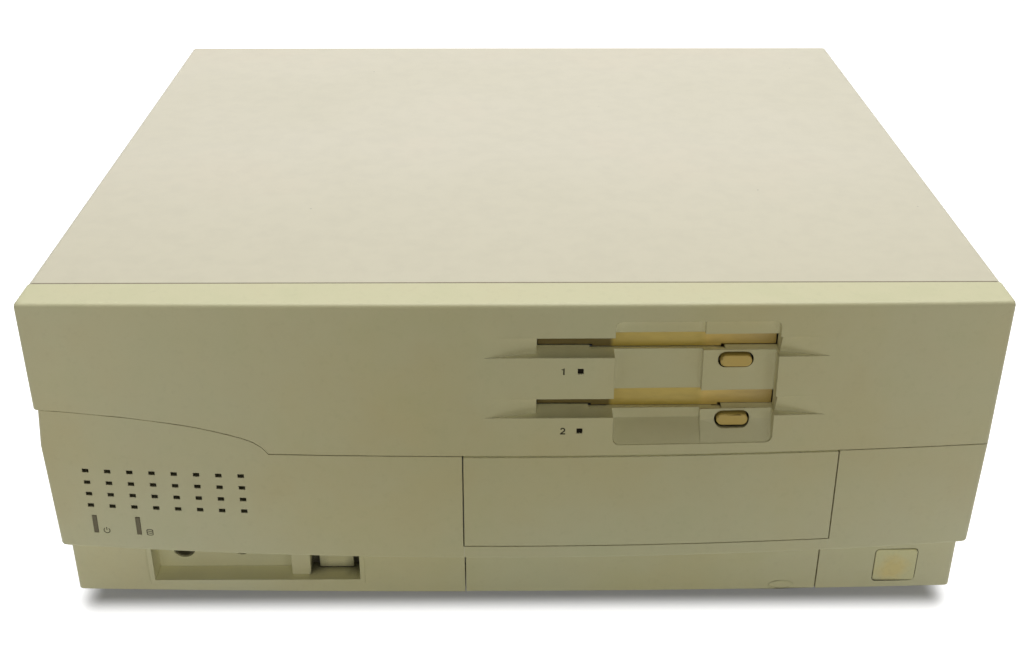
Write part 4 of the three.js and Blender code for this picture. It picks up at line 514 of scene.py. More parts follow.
def screen_ink(name, colour):
    """Screen-printed ink: a thin dark film, thinner where the texture's peaks wear through."""
    base = linear(colour)
    return plain_finish(name, [(0.3, base), (0.72, scaled(base, 1.35))], (0.45, 0.6), size=0.7, rough=0.6,
                        depth=0.01, strength=0.4, **{"IOR": 1.5, "Specular IOR Level": 0.15})


def pressed_paper(name):
    """Pressed black paper pulp, as in a small loudspeaker's cone: matt and faintly felted."""
    return plain_finish(name, [(0.3, linear("#1C1B1A")), (0.75, linear("#3A3836"))], (0.82, 0.95), size=0.8,
                        detail=6.0, rough=0.75, depth=0.05, strength=0.8, IOR=1.45)


def solder_mask(name, axis, level, flat):
    """Glass-epoxy board under green solder mask, with black epoxy parts on it.

    The mask is a clear green gloss over copper tracks, which show as lighter square-cornered
    runs. What stands above the board's face is dark moulded epoxy.
    """
    material, tree, shader, place = new_material(name, IOR=1.55)
    split = add(tree, SPLIT, {0: place}).node.outputs
    board = linear("#1F5B33")
    lying = add(tree, "ShaderNodeCombineXYZ", {0: split[flat[0]], 1: split[flat[1]]})
    runs = add(tree, "ShaderNodeTexBrick", {
        "Vector": lying, "Color1": board, "Color2": scaled(board, 0.86), "Mortar": linear("#3C8450"),
        "Scale": per(16), "Mortar Size": 0.05, "Mortar Smooth": 0.1, "Brick Width": 0.9,
        "Row Height": 0.16})
    holes = add(tree, CELLS, {"Vector": lying, "Scale": per(5.08), "Randomness": 0.35}, "Distance")
    ring = add(tree, RAMP, {0: holes}, stops=levels(0.1, 1.0, 0.13, 0.0))
    mask = add(tree, MIX, {0: ring, 6: runs, 7: linear("#B9BBB4")}, **TINT)
    tall = add(tree, MATH, {0: split[axis], 1: level}, operation="GREATER_THAN")
    grain = add(tree, NOISE, {"Vector": place, "Scale": per(2), "Detail": 3.0, "Roughness": 0.55})
    chip = linear("#1C1C1D")
    epoxy = add(tree, RAMP, {0: grain}, stops=[(0.3, chip), (0.7, scaled(chip, 1.5))])
    tone = add(tree, MIX, {0: tall, 6: mask, 7: epoxy}, **TINT)
    dulled = add(tree, RAMP, {0: tall}, stops=levels(0.0, 0.24, 1.0, 0.5))
    surfaced(tree, shader, tone, dulled, runs.node.outputs["Fac"], depth=0.03)
    return material


# Pitch of the cable's wires, and the width of the red edge
WIRE_PITCH = 1.27
RED_WIDTH = 1.3


def ribbed_vinyl(name):
    """Flat cable of grey vinyl: a fine rib for each wire, the first one red."""
    material, tree, shader, place = new_material(name, IOR=1.52)
    across = add(tree, SPLIT, {0: place}, "X")
    turn = add(tree, MATH, {0: across, 1: 2 * math.pi * per(WIRE_PITCH)}, operation="MULTIPLY")
    wave = add(tree, MATH, {0: turn}, operation="SINE")
    level = add(tree, MATH, {0: wave, 1: 0.5, 2: 0.5}, operation="MULTIPLY_ADD")
    low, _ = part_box("drive_cable")
    first = add(tree, MATH, {0: across, 1: low.x + RED_WIDTH * MM}, operation="LESS_THAN")
    tone = add(tree, RAMP, {0: level}, stops=[(0.0, linear("#8D8C89")), (0.5, linear("#ACABA7"))])
    tone = add(tree, MIX, {0: first, 6: tone, 7: linear("#A8392F")}, **TINT)
    soft = add(tree, NOISE, {"Vector": place, "Scale": per(8), "Detail": 3.0, "Roughness": 0.55})
    dulled = add(tree, RAMP, {0: soft}, stops=levels(0.3, 0.42, 0.7, 0.54))
    surfaced(tree, shader, tone, dulled, level, depth=0.25, strength=0.8)
    return material


# Meshes

# Turns in degrees: edges past the first are shaded sharp, edges past the second are rounded, and
# faces within the third are one flat face; then the distance at which points are one, in mm
SHADED_TURN = 38.0
ROUNDED_TURN = 32.0
FLAT_TURN = 0.02
MERGED = 0.002


def linked(name, data):
    """A new object of that data, in the scene."""
    made = bpy.data.objects.new(name, data)
    bpy.context.scene.collection.objects.link(made)
    return made


def finished(bm, name, material, body, replaces=()):
    """Turns made geometry into an object at the origin that rides on a body."""
    for face in bm.faces:
        face.smooth = True
    for edge in bm.edges:
        turn = edge.calc_face_angle(0.0) if len(edge.link_faces) == 2 else 0.0
        edge.smooth = turn < math.radians(SHADED_TURN)
    mesh = bpy.data.meshes.new(name)
    bm.to_mesh(mesh)
    bm.free()
    mesh.materials.append(material)
    made = linked(name, mesh)
    weights = made.modifiers.new("Even shading", "WEIGHTED_NORMAL")
    weights.keep_sharp = True
    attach(made, body)
    if replaces:
        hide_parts(*replaces)
    return made


def clean_copy(node_name):
    """A merged copy of a solid, with its flat faces whole again."""
    bm = bmesh.new()
    bm.from_mesh(frame["nodes"][node_name].data)
    bmesh.ops.remove_doubles(bm, verts=bm.verts, dist=MERGED * MM)
    bmesh.ops.dissolve_limit(bm, angle_limit=math.radians(FLAT_TURN), verts=bm.verts, edges=bm.edges)
    return bm


def softened(node_name, name, material, radius, segments=2):
    """A copy of a solid with its sharp edges rounded, which stands for the solid."""
    bm = clean_copy(node_name)
    least = math.radians(ROUNDED_TURN)
    edges = [e for e in bm.edges if len(e.link_faces) == 2 and e.calc_face_angle(0.0) > least]
    if radius > 0:
        bmesh.ops.bevel(bm, geom=edges, offset=radius * MM, offset_type="OFFSET", segments=segments,
                        profile=0.5, affect="EDGES", clamp_overlap=False, loop_slide=True)
    bmesh.ops.triangulate(bm, faces=[f for f in bm.faces if len(f.verts) > 4])
    finished(bm, name, material, frame["nodes"][node_name]["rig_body"], replaces=(node_name,))


def dress(material, *node_names):
    """Gives carried-over solids their material."""
    for name in node_names:
        piece = frame["nodes"][name]
        if not piece.material_slots:
            piece.data.materials.append(material)
        for slot in piece.material_slots:
            slot.material = material


def surface_finder(node_name):
    """A function that gives the depth of a solid's front at a place across and up."""
    source = frame["nodes"][node_name]
    tree = BVHTree.FromPolygons([v.co for v in source.data.vertices],
                                [tuple(p.vertices) for p in source.data.polygons])
    a_metre_ahead = -1.0

    def depth(x, z):
        hit = tree.ray_cast(Vector((x, a_metre_ahead, z)), Vector((0.0, 1.0, 0.0)))
        return hit[0].y

    return depth


# Operators

SLOT_COVER_EDGE = 0.2


class MakeSteelCover(bpy.types.Operator):
    """Steel cover with its folded corners and painted finish"""

    bl_idname = "desktop_unit.steel_cover"
    bl_label = "Steel cover"

    def execute(self, context):
        _, cover, _ = settings()
        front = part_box("top_cover")[0].y
        paint = pebbled_paint("Textured enamel on steel", cover.paint, cover.texture, front)
        softened("top_cover", "steel_cover", paint, cover.edge)
        for number in range(1, 5):
            softened(f"slot_cover_{number}", f"slot_blank_{number}", paint, SLOT_COVER_EDGE)
        return {"FINISHED"}


# Places of the front where painted shade makes the plastic nearly black: how far they reach past
# the lights or the button, and how wide their holes may be
SLITS_LEFT = 8.0
SLITS_RIGHT = 46.0
SLITS_UP = 24.0
SLIT_REACH = 3.0
POCKET_BELOW = (4.0, 0.0, 2.0)
POCKET_ABOVE = (2.5, 0.0, 4.0)
POCKET_REACH = 8.0
WELL_MARGIN = (1.6, 0.0, 1.6)
WELL_REACH = 3.0
# The rounding of the small pieces, as a share of the mouldings'
SMALL_EDGE_SHARE = 0.6


class MakeFrontMouldings(bpy.types.Operator):
    """Upper and lower front mouldings, their two covers and the reset key"""

    bl_idname = "desktop_unit.front_mouldings"
    bl_label = "Front mouldings"

    def execute(self, context):
        moulding, _, _ = settings()
        box = (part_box("lower_bezel")[0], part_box("upper_bezel")[1])
        plastic = moulded_abs("Textured ABS", moulding.plastic, moulding.texture, moulding.edge, box,
                              self.deep_places(), [corner.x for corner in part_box("bay_cover")])
        small = moulding.edge * SMALL_EDGE_SHARE
        for node_name, name, radius in (
                ("upper_bezel", "upper_moulding", 0.0), ("lower_bezel", "lower_moulding", 0.0),
                ("bay_cover", "bay_blank", small), ("skirt_cover", "skirt_blank", small),
                ("reset_button", "reset_key", small)):
            softened(node_name, name, plastic, radius)
        return {"FINISHED"}

    def deep_places(self):
        """Slits, reset pocket and buttons' wells for painted shade: two corners and a reach each."""
        (left, top), (_, right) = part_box("power_light"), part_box("disk_light")
        deep = [(Vector((left.x - SLITS_LEFT * MM, 0.0, top.z)),
                 Vector((right.x + SLITS_RIGHT * MM, 0.0, top.z + SLITS_UP * MM)), SLIT_REACH)]
        low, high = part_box("reset_button")
        deep.append((low - Vector(POCKET_BELOW) * MM, high + Vector(POCKET_ABOVE) * MM, POCKET_REACH))
        for name in ("eject_button_1", "eject_button_2", "power_button"):
            low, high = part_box(name)
            deep.append((low - Vector(WELL_MARGIN) * MM, high + Vector(WELL_MARGIN) * MM, WELL_REACH))
        return deep


# Rounding of the edges, and where fingers press the power button: left of its middle, below it,
# and how far round that
POWER_KEY_EDGE = 0.5
EJECT_KEY_EDGE = 0.45
FLAP_EDGE = 0.15
THUMB_LEFT = 1.0
THUMB_DOWN = 1.5
THUMB_REACH = 8.5


class MakeKeys(bpy.types.Operator):
    """Power and eject buttons and the slot flaps"""

    bl_idname = "desktop_unit.keys"
    bl_label = "Buttons and flaps"

    def execute(self, context):
        moulding, _, _ = settings()
        low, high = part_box("power_button")
        thumb = ((low.x + high.x) / 2 - THUMB_LEFT * MM, low.y, (low.z + high.z) / 2 - THUMB_DOWN * MM)
        reach = (THUMB_REACH * MM, 1.0, THUMB_REACH * MM)
        key = fingered_abs("Finger-worn ABS", "#CFCA98", "#D6C682", thumb, reach)
        softened("power_button", "power_key", key, POWER_KEY_EDGE, segments=3)
        tan = moulded_abs("Yellowed ABS", moulding.eject, moulding.texture)
        flap = flap_abs_with_painted_shade("Flap ABS", moulding.flap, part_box("bay_cover"))
        for number in (1, 2):
            softened(f"eject_button_{number}", f"eject_key_{number}", tan, EJECT_KEY_EDGE,
                     segments=3)
            softened(f"shutter_{number}", f"slot_flap_{number}", flap, FLAP_EDGE)
        return {"FINISHED"}


LIGHT_BAR_EDGE = 0.12
DRIVE_LIGHT_EDGE = 0.1


class MakeLamps(bpy.types.Operator):
    """Light bars and drive lamps"""

    bl_idname = "desktop_unit.lamps"
    bl_label = "Lamps"

    def execute(self, context):
        bars = smoked_acrylic("Smoked grey acrylic", "#6A6246", 0.45, 0.4)
        squares = smoked_acrylic("Dark acrylic", "#151106", 0.6, 0.05)
        softened("power_light", "power_lens", bars, LIGHT_BAR_EDGE)
        softened("disk_light", "disk_lens", bars, LIGHT_BAR_EDGE)
        for number in (1, 2):
            softened(f"drive_light_{number}", f"drive_lens_{number}", squares, DRIVE_LIGHT_EDGE)
        return {"FINISHED"}


# Sizes of the marks, their gaps from the lights, the signs' height above the bars' feet, and the
# thickness of the ink
NUMERAL_HEIGHT = 2.8
NUMERAL_GAP = 5.6
SIGN_RADIUS = 1.25
SIGN_GAP = 3.6
SIGN_RISE = 1.3
INK_FILM = 0.03


class MakePrintedMarks(bpy.types.Operator):
    """Numerals of the drives and the signs of the two lights"""

    bl_idname = "desktop_unit.printed_marks"
    bl_label = "Printed marks"

    def execute(self, context):
        moulding, _, _ = settings()
        ink = screen_ink("Screen-printed ink", moulding.print_ink)
        upper = surface_finder("upper_bezel")
        lower = surface_finder("lower_bezel")
        for number, shape in ((1, numeral_one), (2, numeral_two)):
            low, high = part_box(f"drive_light_{number}")
            place = Vector((low.x - NUMERAL_GAP * MM, 0.0, (low.z + high.z) / 2))
            bm = laid_on(shape(NUMERAL_HEIGHT * MM), place, upper)
            finished(bm, f"printed_numeral_{number}", ink, MACHINE)
        for node_name, name, shape in (("power_light", "printed_power_sign", power_sign),
                                       ("disk_light", "printed_disk_sign", disk_sign)):
            low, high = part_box(node_name)
            place = Vector((high.x + SIGN_GAP * MM, 0.0, low.z + SIGN_RISE * MM))
            bm = laid_on(shape(SIGN_RADIUS * MM), place, lower)
            finished(bm, name, ink, MACHINE)
        return {"FINISHED"}


def strip(bm, points, width, closed=False):
    """A flat ribbon of that width in X and Z along a list of points."""
    pairs = []
    for i, point in enumerate(points):
        before = points[i - 1] if i or closed else point
        after = points[(i + 1) % len(points)] if i + 1 < len(points) or closed else point
        along = (after - before).normalized()
        side = Vector((-along.z, 0.0, along.x)) * width / 2
        pairs.append((bm.verts.new(point - side), bm.verts.new(point + side)))
    for i in range(len(pairs) if closed else len(pairs) - 1):
        (a, b), (c, d) = pairs[i], pairs[(i + 1) % len(pairs)]
        bm.faces.new((a, c, d, b))


def arc(radius, start, end, steps, squash=1.0, up=0.0):
    """Points on an arc in X and Z."""
    angles = [start + (end - start) * i / steps for i in range(steps + 1)]
    return [Vector((radius * math.sin(a), 0.0, up + squash * radius * math.cos(a))) for a in angles]


def corners(size, *shares):
    """Points in X and Z, written as shares of a size."""
    return [Vector((x, 0.0, z)) * size for x, z in shares]


def numeral_one(height):
    """A plain upright numeral one with its flag."""
    bm = bmesh.new()
    strip(bm, corners(height, (-0.26, 0.24), (0.03, 0.47), (0.03, -0.5)), height * 0.22)
    return bm


def numeral_two(height):
    """A plain upright numeral two."""
    bm = bmesh.new()
    stroke = height * 0.2
    bowl = arc(0.27 * height, math.radians(-75), math.radians(125), 12, up=0.17 * height)
    strip(bm, bowl + corners(height, (-0.3, -0.4)), stroke)
    strip(bm, corners(height, (-0.36, -0.42), (0.36, -0.42)), stroke)
    return bm


def power_sign(radius):
    """An open ring with an upright bar, the common sign for power."""
    bm = bmesh.new()
    stroke = radius * 0.26
    gap = math.radians(38)
    strip(bm, arc(radius, gap, 2 * math.pi - gap, 20), stroke)
    strip(bm, corners(radius, (0.0, 0.15), (0.0, 1.25)), stroke)
    return bm


def disk_sign(radius):
    """A short drum, the common sign for a disk."""
    bm = bmesh.new()
    stroke, squash, end = radius * 0.24, 0.38, 0.75
    strip(bm, arc(radius, 0, 2 * math.pi, 20, squash, end * radius)[:-1], stroke, closed=True)
    for drop in (0.0, -end * radius):
        strip(bm, arc(radius, math.pi / 2, 3 * math.pi / 2, 12, squash, drop), stroke)
    for side in (-1.0, 1.0):
        strip(bm, corners(radius, (side, end), (side, -end)), stroke)
    return bm


def laid_on(bm, place, depth):
    """Lays flat geometry on a surface and gives it a film's thickness, so that it is closed."""
    film = INK_FILM * MM
    for vert in bm.verts:
        x, z = place.x + vert.co.x, place.z + vert.co.z
        vert.co = Vector((x, depth(x, z) - film, z))
    bmesh.ops.recalc_face_normals(bm, faces=bm.faces)
    for face in bm.faces:
        if face.normal.y > 0:
            face.normal_flip()
    bmesh.ops.solidify(bm, geom=bm.faces[:], thickness=film)
    bmesh.ops.recalc_face_normals(bm, faces=bm.faces)
    return bm


FOOT_EDGE = 0.4


class MakeFeet(bpy.types.Operator):
    """Rubber feet under the pan"""

    bl_idname = "desktop_unit.feet"
    bl_label = "Feet"

    def execute(self, context):
        rubber = foot_rubber("Nitrile rubber")
        for place in ("front_left", "front_right", "rear_left", "rear_right"):
            softened(f"foot_{place}", f"rubber_foot_{place}", rubber, FOOT_EDGE)
        return {"FINISHED"}


SHEET_EDGE = 0.12
COVER_SCREW_EDGE = 0.15


class MakeChassis(bpy.types.Operator):
    """Sheet-metal chassis, drive frames and other metalwork"""

    bl_idname = "desktop_unit.chassis"
    bl_label = "Chassis"

    def execute(self, context):
        sheet = zinc_sheet("Zinc-plated steel")
        plated = plated_contact("Nickel plating", "#C9C8C2")
        cast = cast_alloy("Die-cast alloy")
        softened("rear_panel", "rear_plate", sheet, SHEET_EDGE)
        softened("chassis_pan", "base_pan", sheet, SHEET_EDGE)
        softened("fan_guard", "wire_guard", plated, 0.0)
        for side in ("left", "right"):
            softened(f"cover_screw_{side}", f"panel_screw_{side}", plated, COVER_SCREW_EDGE)
        dress(sheet, "front_plate", "drive_cage", "card_cage", "power_supply_case", "power_supply_lid",
              "spindle_hub_1", "spindle_hub_2", "lead_screw_1", "lead_screw_2")
        dress(cast, "floppy_frame_1", "floppy_frame_2", "hard_disk", "processor_heatsink")
        return {"FINISHED"}


# Each board's solid and material, the axis across it, the axes along it, and how far above the
# solid's low side only its parts stand
BOARDS = (("main_board", "Main board epoxy", "z", ("X", "Y"), 1.7),
          ("memory_module", "Memory board epoxy", "x", ("Y", "Z"), 1.7),
          ("backplane", "Backplane epoxy", "y", ("X", "Z"), 1.7),
          ("power_supply_board", "Supply board epoxy", "z", ("X", "Y"), 4.7),
          ("front_board", "Front board epoxy", "y", ("X", "Z"), 4.9))

# Each socket or fan piece, the name of its copy and the rounding of its edges
GREY_PIECES = (("keyboard_socket", "round_socket", 0.15), ("headphone_jack", "round_jack", 0.15))
BLACK_PIECES = (("fan_frame", "fan_housing", 0.3), ("fan_rotor", "fan_blades", 0.2),
                ("mains_inlet", "inlet_socket", 0.25), ("mains_outlet", "outlet_socket", 0.25))


class MakeElectronics(bpy.types.Operator):
    """Boards, sockets, cable, speaker and fan"""

    bl_idname = "desktop_unit.electronics"
    bl_label = "Electronics"

    def execute(self, context):
        for node_name, name, axis, flat, face in BOARDS:
            level = getattr(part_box(node_name)[0], axis) + face * MM
            dress(solder_mask(name, axis.upper(), level, flat), node_name)
        nylon = moulded_nylon("Black nylon")
        faded = moulded_nylon("Dusty grey nylon", "#4E4A33", 0.6)
        dress(nylon, "power_switch", "head_carriage_1", "head_carriage_2")
        for material, pieces in ((faded, GREY_PIECES), (nylon, BLACK_PIECES)):
            for node_name, name, radius in pieces:
                softened(node_name, name, material, radius)
        dress(pressed_paper("Pressed paper"), "speaker")
        dress(ribbed_vinyl("Ribbed vinyl"), "drive_cable")
        return {"FINISHED"}


# Rows of small like pieces


def rows_tree(name, shape):
    """A tree that sets a small piece on every point of a grid that stands in X and Z."""
    tree = bpy.data.node_groups.new(name, "GeometryNodeTree")
    face = tree.interface
    face.new_socket("Geometry", in_out="OUTPUT", socket_type="NodeSocketGeometry")
    kinds = (("Across", "NodeSocketInt"), ("Up", "NodeSocketInt"), ("Pitch across", "NodeSocketFloat"),
             ("Pitch up", "NodeSocketFloat"), ("Radius", "NodeSocketFloat"), ("Length", "NodeSocketFloat"),
             ("Middle", "NodeSocketVector"), ("Material", "NodeSocketMaterial"))
    for label, kind in kinds:
        face.new_socket(label, in_out="INPUT", socket_type=kind)
    source = add(tree, "NodeGroupInput").node.outputs

    def span(count, pitch):
        less = add(tree, MATH, {0: source[count], 1: 1.0}, operation="SUBTRACT")
        return add(tree, MATH, {0: less, 1: source[pitch]}, operation="MULTIPLY")

    grid = add(tree, "GeometryNodeMeshGrid", {
        "Size X": span("Across", "Pitch across"), "Size Y": span("Up", "Pitch up"),
        "Vertices X": source["Across"], "Vertices Y": source["Up"]})
    piece = add(tree, "GeometryNodeMeshCylinder", {
        "Vertices": shape, "Radius": source["Radius"], "Depth": source["Length"], "Side Segments": 1})
    placed = add(tree, "GeometryNodeInstanceOnPoints", {"Points": grid, "Instance": piece})
    whole = add(tree, "GeometryNodeRealizeInstances", {"Geometry": placed})
    stood = add(tree, "GeometryNodeTransform", {
        "Geometry": whole, "Rotation": (math.pi / 2, 0.0, 0.0), "Translation": source["Middle"]})
    coated = add(tree, "GeometryNodeSetMaterial", {"Geometry": stood, "Material": source["Material"]})
    add(tree, "NodeGroupOutput", {"Geometry": coated})
    return tree


def row_of(tree, name, material, values, bevel=0.0):
    """Runs the tree once and keeps what it makes as a plain mesh on the machine's body."""
    holder = linked(name + "_grid", bpy.data.meshes.new(name + "_grid"))
    modifier = holder.modifiers.new("Rows", "NODES")
    modifier.node_group = tree
    inputs = {**values, "Material": material}
    for item in tree.interface.items_tree:
        if item.item_type == "SOCKET" and item.in_out == "INPUT":
            modifier[item.identifier] = inputs[item.name]
    bpy.context.view_layer.update()
    made = bpy.data.meshes.new_from_object(holder.evaluated_get(bpy.context.evaluated_depsgraph_get()))
    bm = bmesh.new()
    bm.from_mesh(made)
    bpy.data.objects.remove(holder)
    bpy.data.meshes.remove(made)
    if bevel:
        edges = [e for e in bm.edges if e.calc_face_angle(0.0) > math.radians(NUT_TURN)]
        bmesh.ops.bevel(bm, geom=edges, offset=bevel, segments=1, profile=0.5, affect="EDGES")
    finished(bm, name, material, MACHINE)


# Each connector's contacts in a row, and their pitch
CONTACTS = {"serial_port": (13, 2.76), "printer_port": (14, 2.16), "display_port": (8, 2.29)}

# Contacts: their size, by how much a connector is wider than its longest row, the gap between the
# two rows, and how high their middle lies over the connector's foot
CONTACT_RADIUS = 0.5
CONTACT_LENGTH = 0.8
CONTACTS_INSET = 16.5
ROW_GAP = 2.84
ROWS_RISE = 10.7

# Shells: the rim, the hollow's depth and draft, and how close to the back the faces of an end lie
SHELL_RIM = 0.5
SHELL_DEPTH = 1.6
SHELL_DRAFT = 0.02
SHELL_END = 0.1

# Hexagon nuts: their size, places and bevel, which edges get that turn more than NUT_TURN degrees
NUT_RADIUS = 2.7
NUT_LENGTH = 4.2
NUT_BEVEL = 0.25
NUT_SETBACK = 3.0
NUTS_INSET = 7.2
NUT_TURN = 60.0

# Screws: the heads' radius and height, and how far they lie from the slot covers' ends, outside the
# guard and in front of its back
SLOT_SCREW = (2.9, 1.4)
SLOT_SCREW_INSET = 4.5
GUARD_SCREW = (3.2, 2.0)
GUARD_SCREW_OUT = 2.4
GUARD_SCREW_SETBACK = 2.3


class MakeRearFittings(bpy.types.Operator):
    """Connector shells, their contacts, jack screws and the screws of the slot covers"""

    bl_idname = "desktop_unit.rear_fittings"
    bl_label = "Rear fittings"

    def execute(self, context):
        plated = plated_contact("Tin plating", "#B9BAB8")
        self.fit_connectors(plated)
        self.fit_slot_screws(plated)
        self.fit_guard_screws(plated)
        return {"FINISHED"}

    def fit_connectors(self, plated):
        """Hollow shells, each with two rows of contacts and a hexagon nut at either end."""
        gold = plated_contact("Gold-plated brass", "#D9B461")
        nylon = moulded_nylon("Connector nylon")
        contacts = rows_tree("Rows of contacts", 8)
        nuts = rows_tree("Pairs of hexagon nuts", 6)
        for node_name, (count, pitch) in CONTACTS.items():
            connector(node_name, node_name.replace("port", "shell"), plated, nylon)
            low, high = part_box(node_name)
            width = high.x - low.x
            middle, rise = (low.x + high.x) / 2, low.z + ROWS_RISE * MM
            room = (width - CONTACTS_INSET * MM) / (count - 1)
            row_of(contacts, node_name.replace("port", "contacts"), gold, {
                "Across": count, "Up": 2, "Pitch across": min(pitch * MM, room), "Pitch up": ROW_GAP * MM,
                "Radius": CONTACT_RADIUS * MM, "Length": CONTACT_LENGTH * MM,
                "Middle": (middle, high.y - SHELL_DEPTH * MM, rise)})
            row_of(nuts, node_name.replace("port", "nuts"), plated, {
                "Across": 2, "Up": 1, "Pitch across": width - NUTS_INSET * MM, "Pitch up": 0.0,
                "Radius": NUT_RADIUS * MM, "Length": NUT_LENGTH * MM,
                "Middle": (middle, high.y - NUT_SETBACK * MM, rise)}, bevel=NUT_BEVEL * MM)

    def fit_slot_screws(self, plated):
        """A screw at either end of each slot cover."""
        bm = bmesh.new()
        for number in range(1, 5):
            low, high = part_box(f"slot_cover_{number}")
            for x in (low.x + SLOT_SCREW_INSET * MM, high.x - SLOT_SCREW_INSET * MM):
                pan_head(bm, Vector((x, high.y, (low.z + high.z) / 2)), SLOT_SCREW)
        finished(bm, "slot_cover_screws", plated, MACHINE)

    def fit_guard_screws(self, plated):
        """Four screws that hold the fan's guard, just outside its rings."""
        low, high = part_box("fan_guard")
        middle = (low + high) / 2
        reach = ((high.x - low.x) / 2 + GUARD_SCREW_OUT * MM) * math.sqrt(0.5)
        bm = bmesh.new()
        for x in (middle.x - reach, middle.x + reach):
            for z in (middle.z - reach, middle.z + reach):
                pan_head(bm, Vector((x, high.y - GUARD_SCREW_SETBACK * MM, z)), GUARD_SCREW)
        finished(bm, "fan_guard_screws", plated, MACHINE)


def connector(node_name, name, metal, insulator):
    """A copy of a connector whose dark insulator lies sunk inside its thin metal shell."""
    bm = clean_copy(node_name)
    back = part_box(node_name)[1].y - SHELL_END * MM
    ends = [f for f in bm.faces if f.normal.y > 0.99 and f.calc_center_median().y > back]
    bmesh.ops.inset_region(bm, faces=ends, thickness=SHELL_RIM * MM)
    bmesh.ops.inset_region(bm, faces=ends, thickness=SHELL_DRAFT * MM, depth=-SHELL_DEPTH * MM)
    for face in ends:
        face.material_index = 1
    made = finished(bm, name, metal, MACHINE, replaces=(node_name,))
    made.data.materials.append(insulator)


# The head's outline, as shares of its height and radius, and how far its foot is sunk
HEAD_SHARES = ((0.0, 1.0), (0.45, 1.0), (0.8, 0.82), (1.0, 0.5))
HEAD_SIDES = 16
HEAD_SINK = 0.05


def pan_head(bm, place, size):
    """A low domed screw head with a cross recess, facing the back."""
    radius, height = (length * MM for length in size)

    def around(i, share, rise):
        angle = 2 * math.pi * i / HEAD_SIDES
        out = radius * share
        return bm.verts.new(place + Vector((out * math.cos(angle), rise, out * math.sin(angle))))

    rows = [[around(i, share, height * rise - HEAD_SINK * MM) for i in range(HEAD_SIDES)]
            for rise, share in HEAD_SHARES]
    middle = bm.verts.new(place + Vector((0.0, height * 0.35, 0.0)))
    recess = [around(i, 0.42, height * 0.98) if i % 4 == 0 else around(i, 0.14, height * 0.99)
              for i in range(HEAD_SIDES)]
    for i in range(HEAD_SIDES):
        k = (i + 1) % HEAD_SIDES
        for low, high in zip(rows, rows[1:]):
            bm.faces.new((low[i], high[i], high[k], low[k]))
        bm.faces.new((rows[-1][i], recess[i], recess[k], rows[-1][k]))
        bm.faces.new((recess[i], middle, recess[k]))
    bm.faces.new(rows[0])
    bmesh.ops.recalc_face_normals(bm, faces=bm.faces)


# The stage in metres: how far the floor reaches, and each lamp's name, place, target and size
FLOOR_REACH = 6.0
LAMPS = (("overhead_lamp", (0.1, 0.5, 1.9), (0.0, 0.0, 0.0), (1.8, 1.4)),
         ("front_lamp", (0.2, -1.7, 0.85), (0.0, 0.0, 0.06), (2.2, 0.5)))

# The share of the floor's glow that is left under the machine, and the camera's frame in mm
LEAST_GLOW = 0.07
FRAME_WIDTH = 36.0


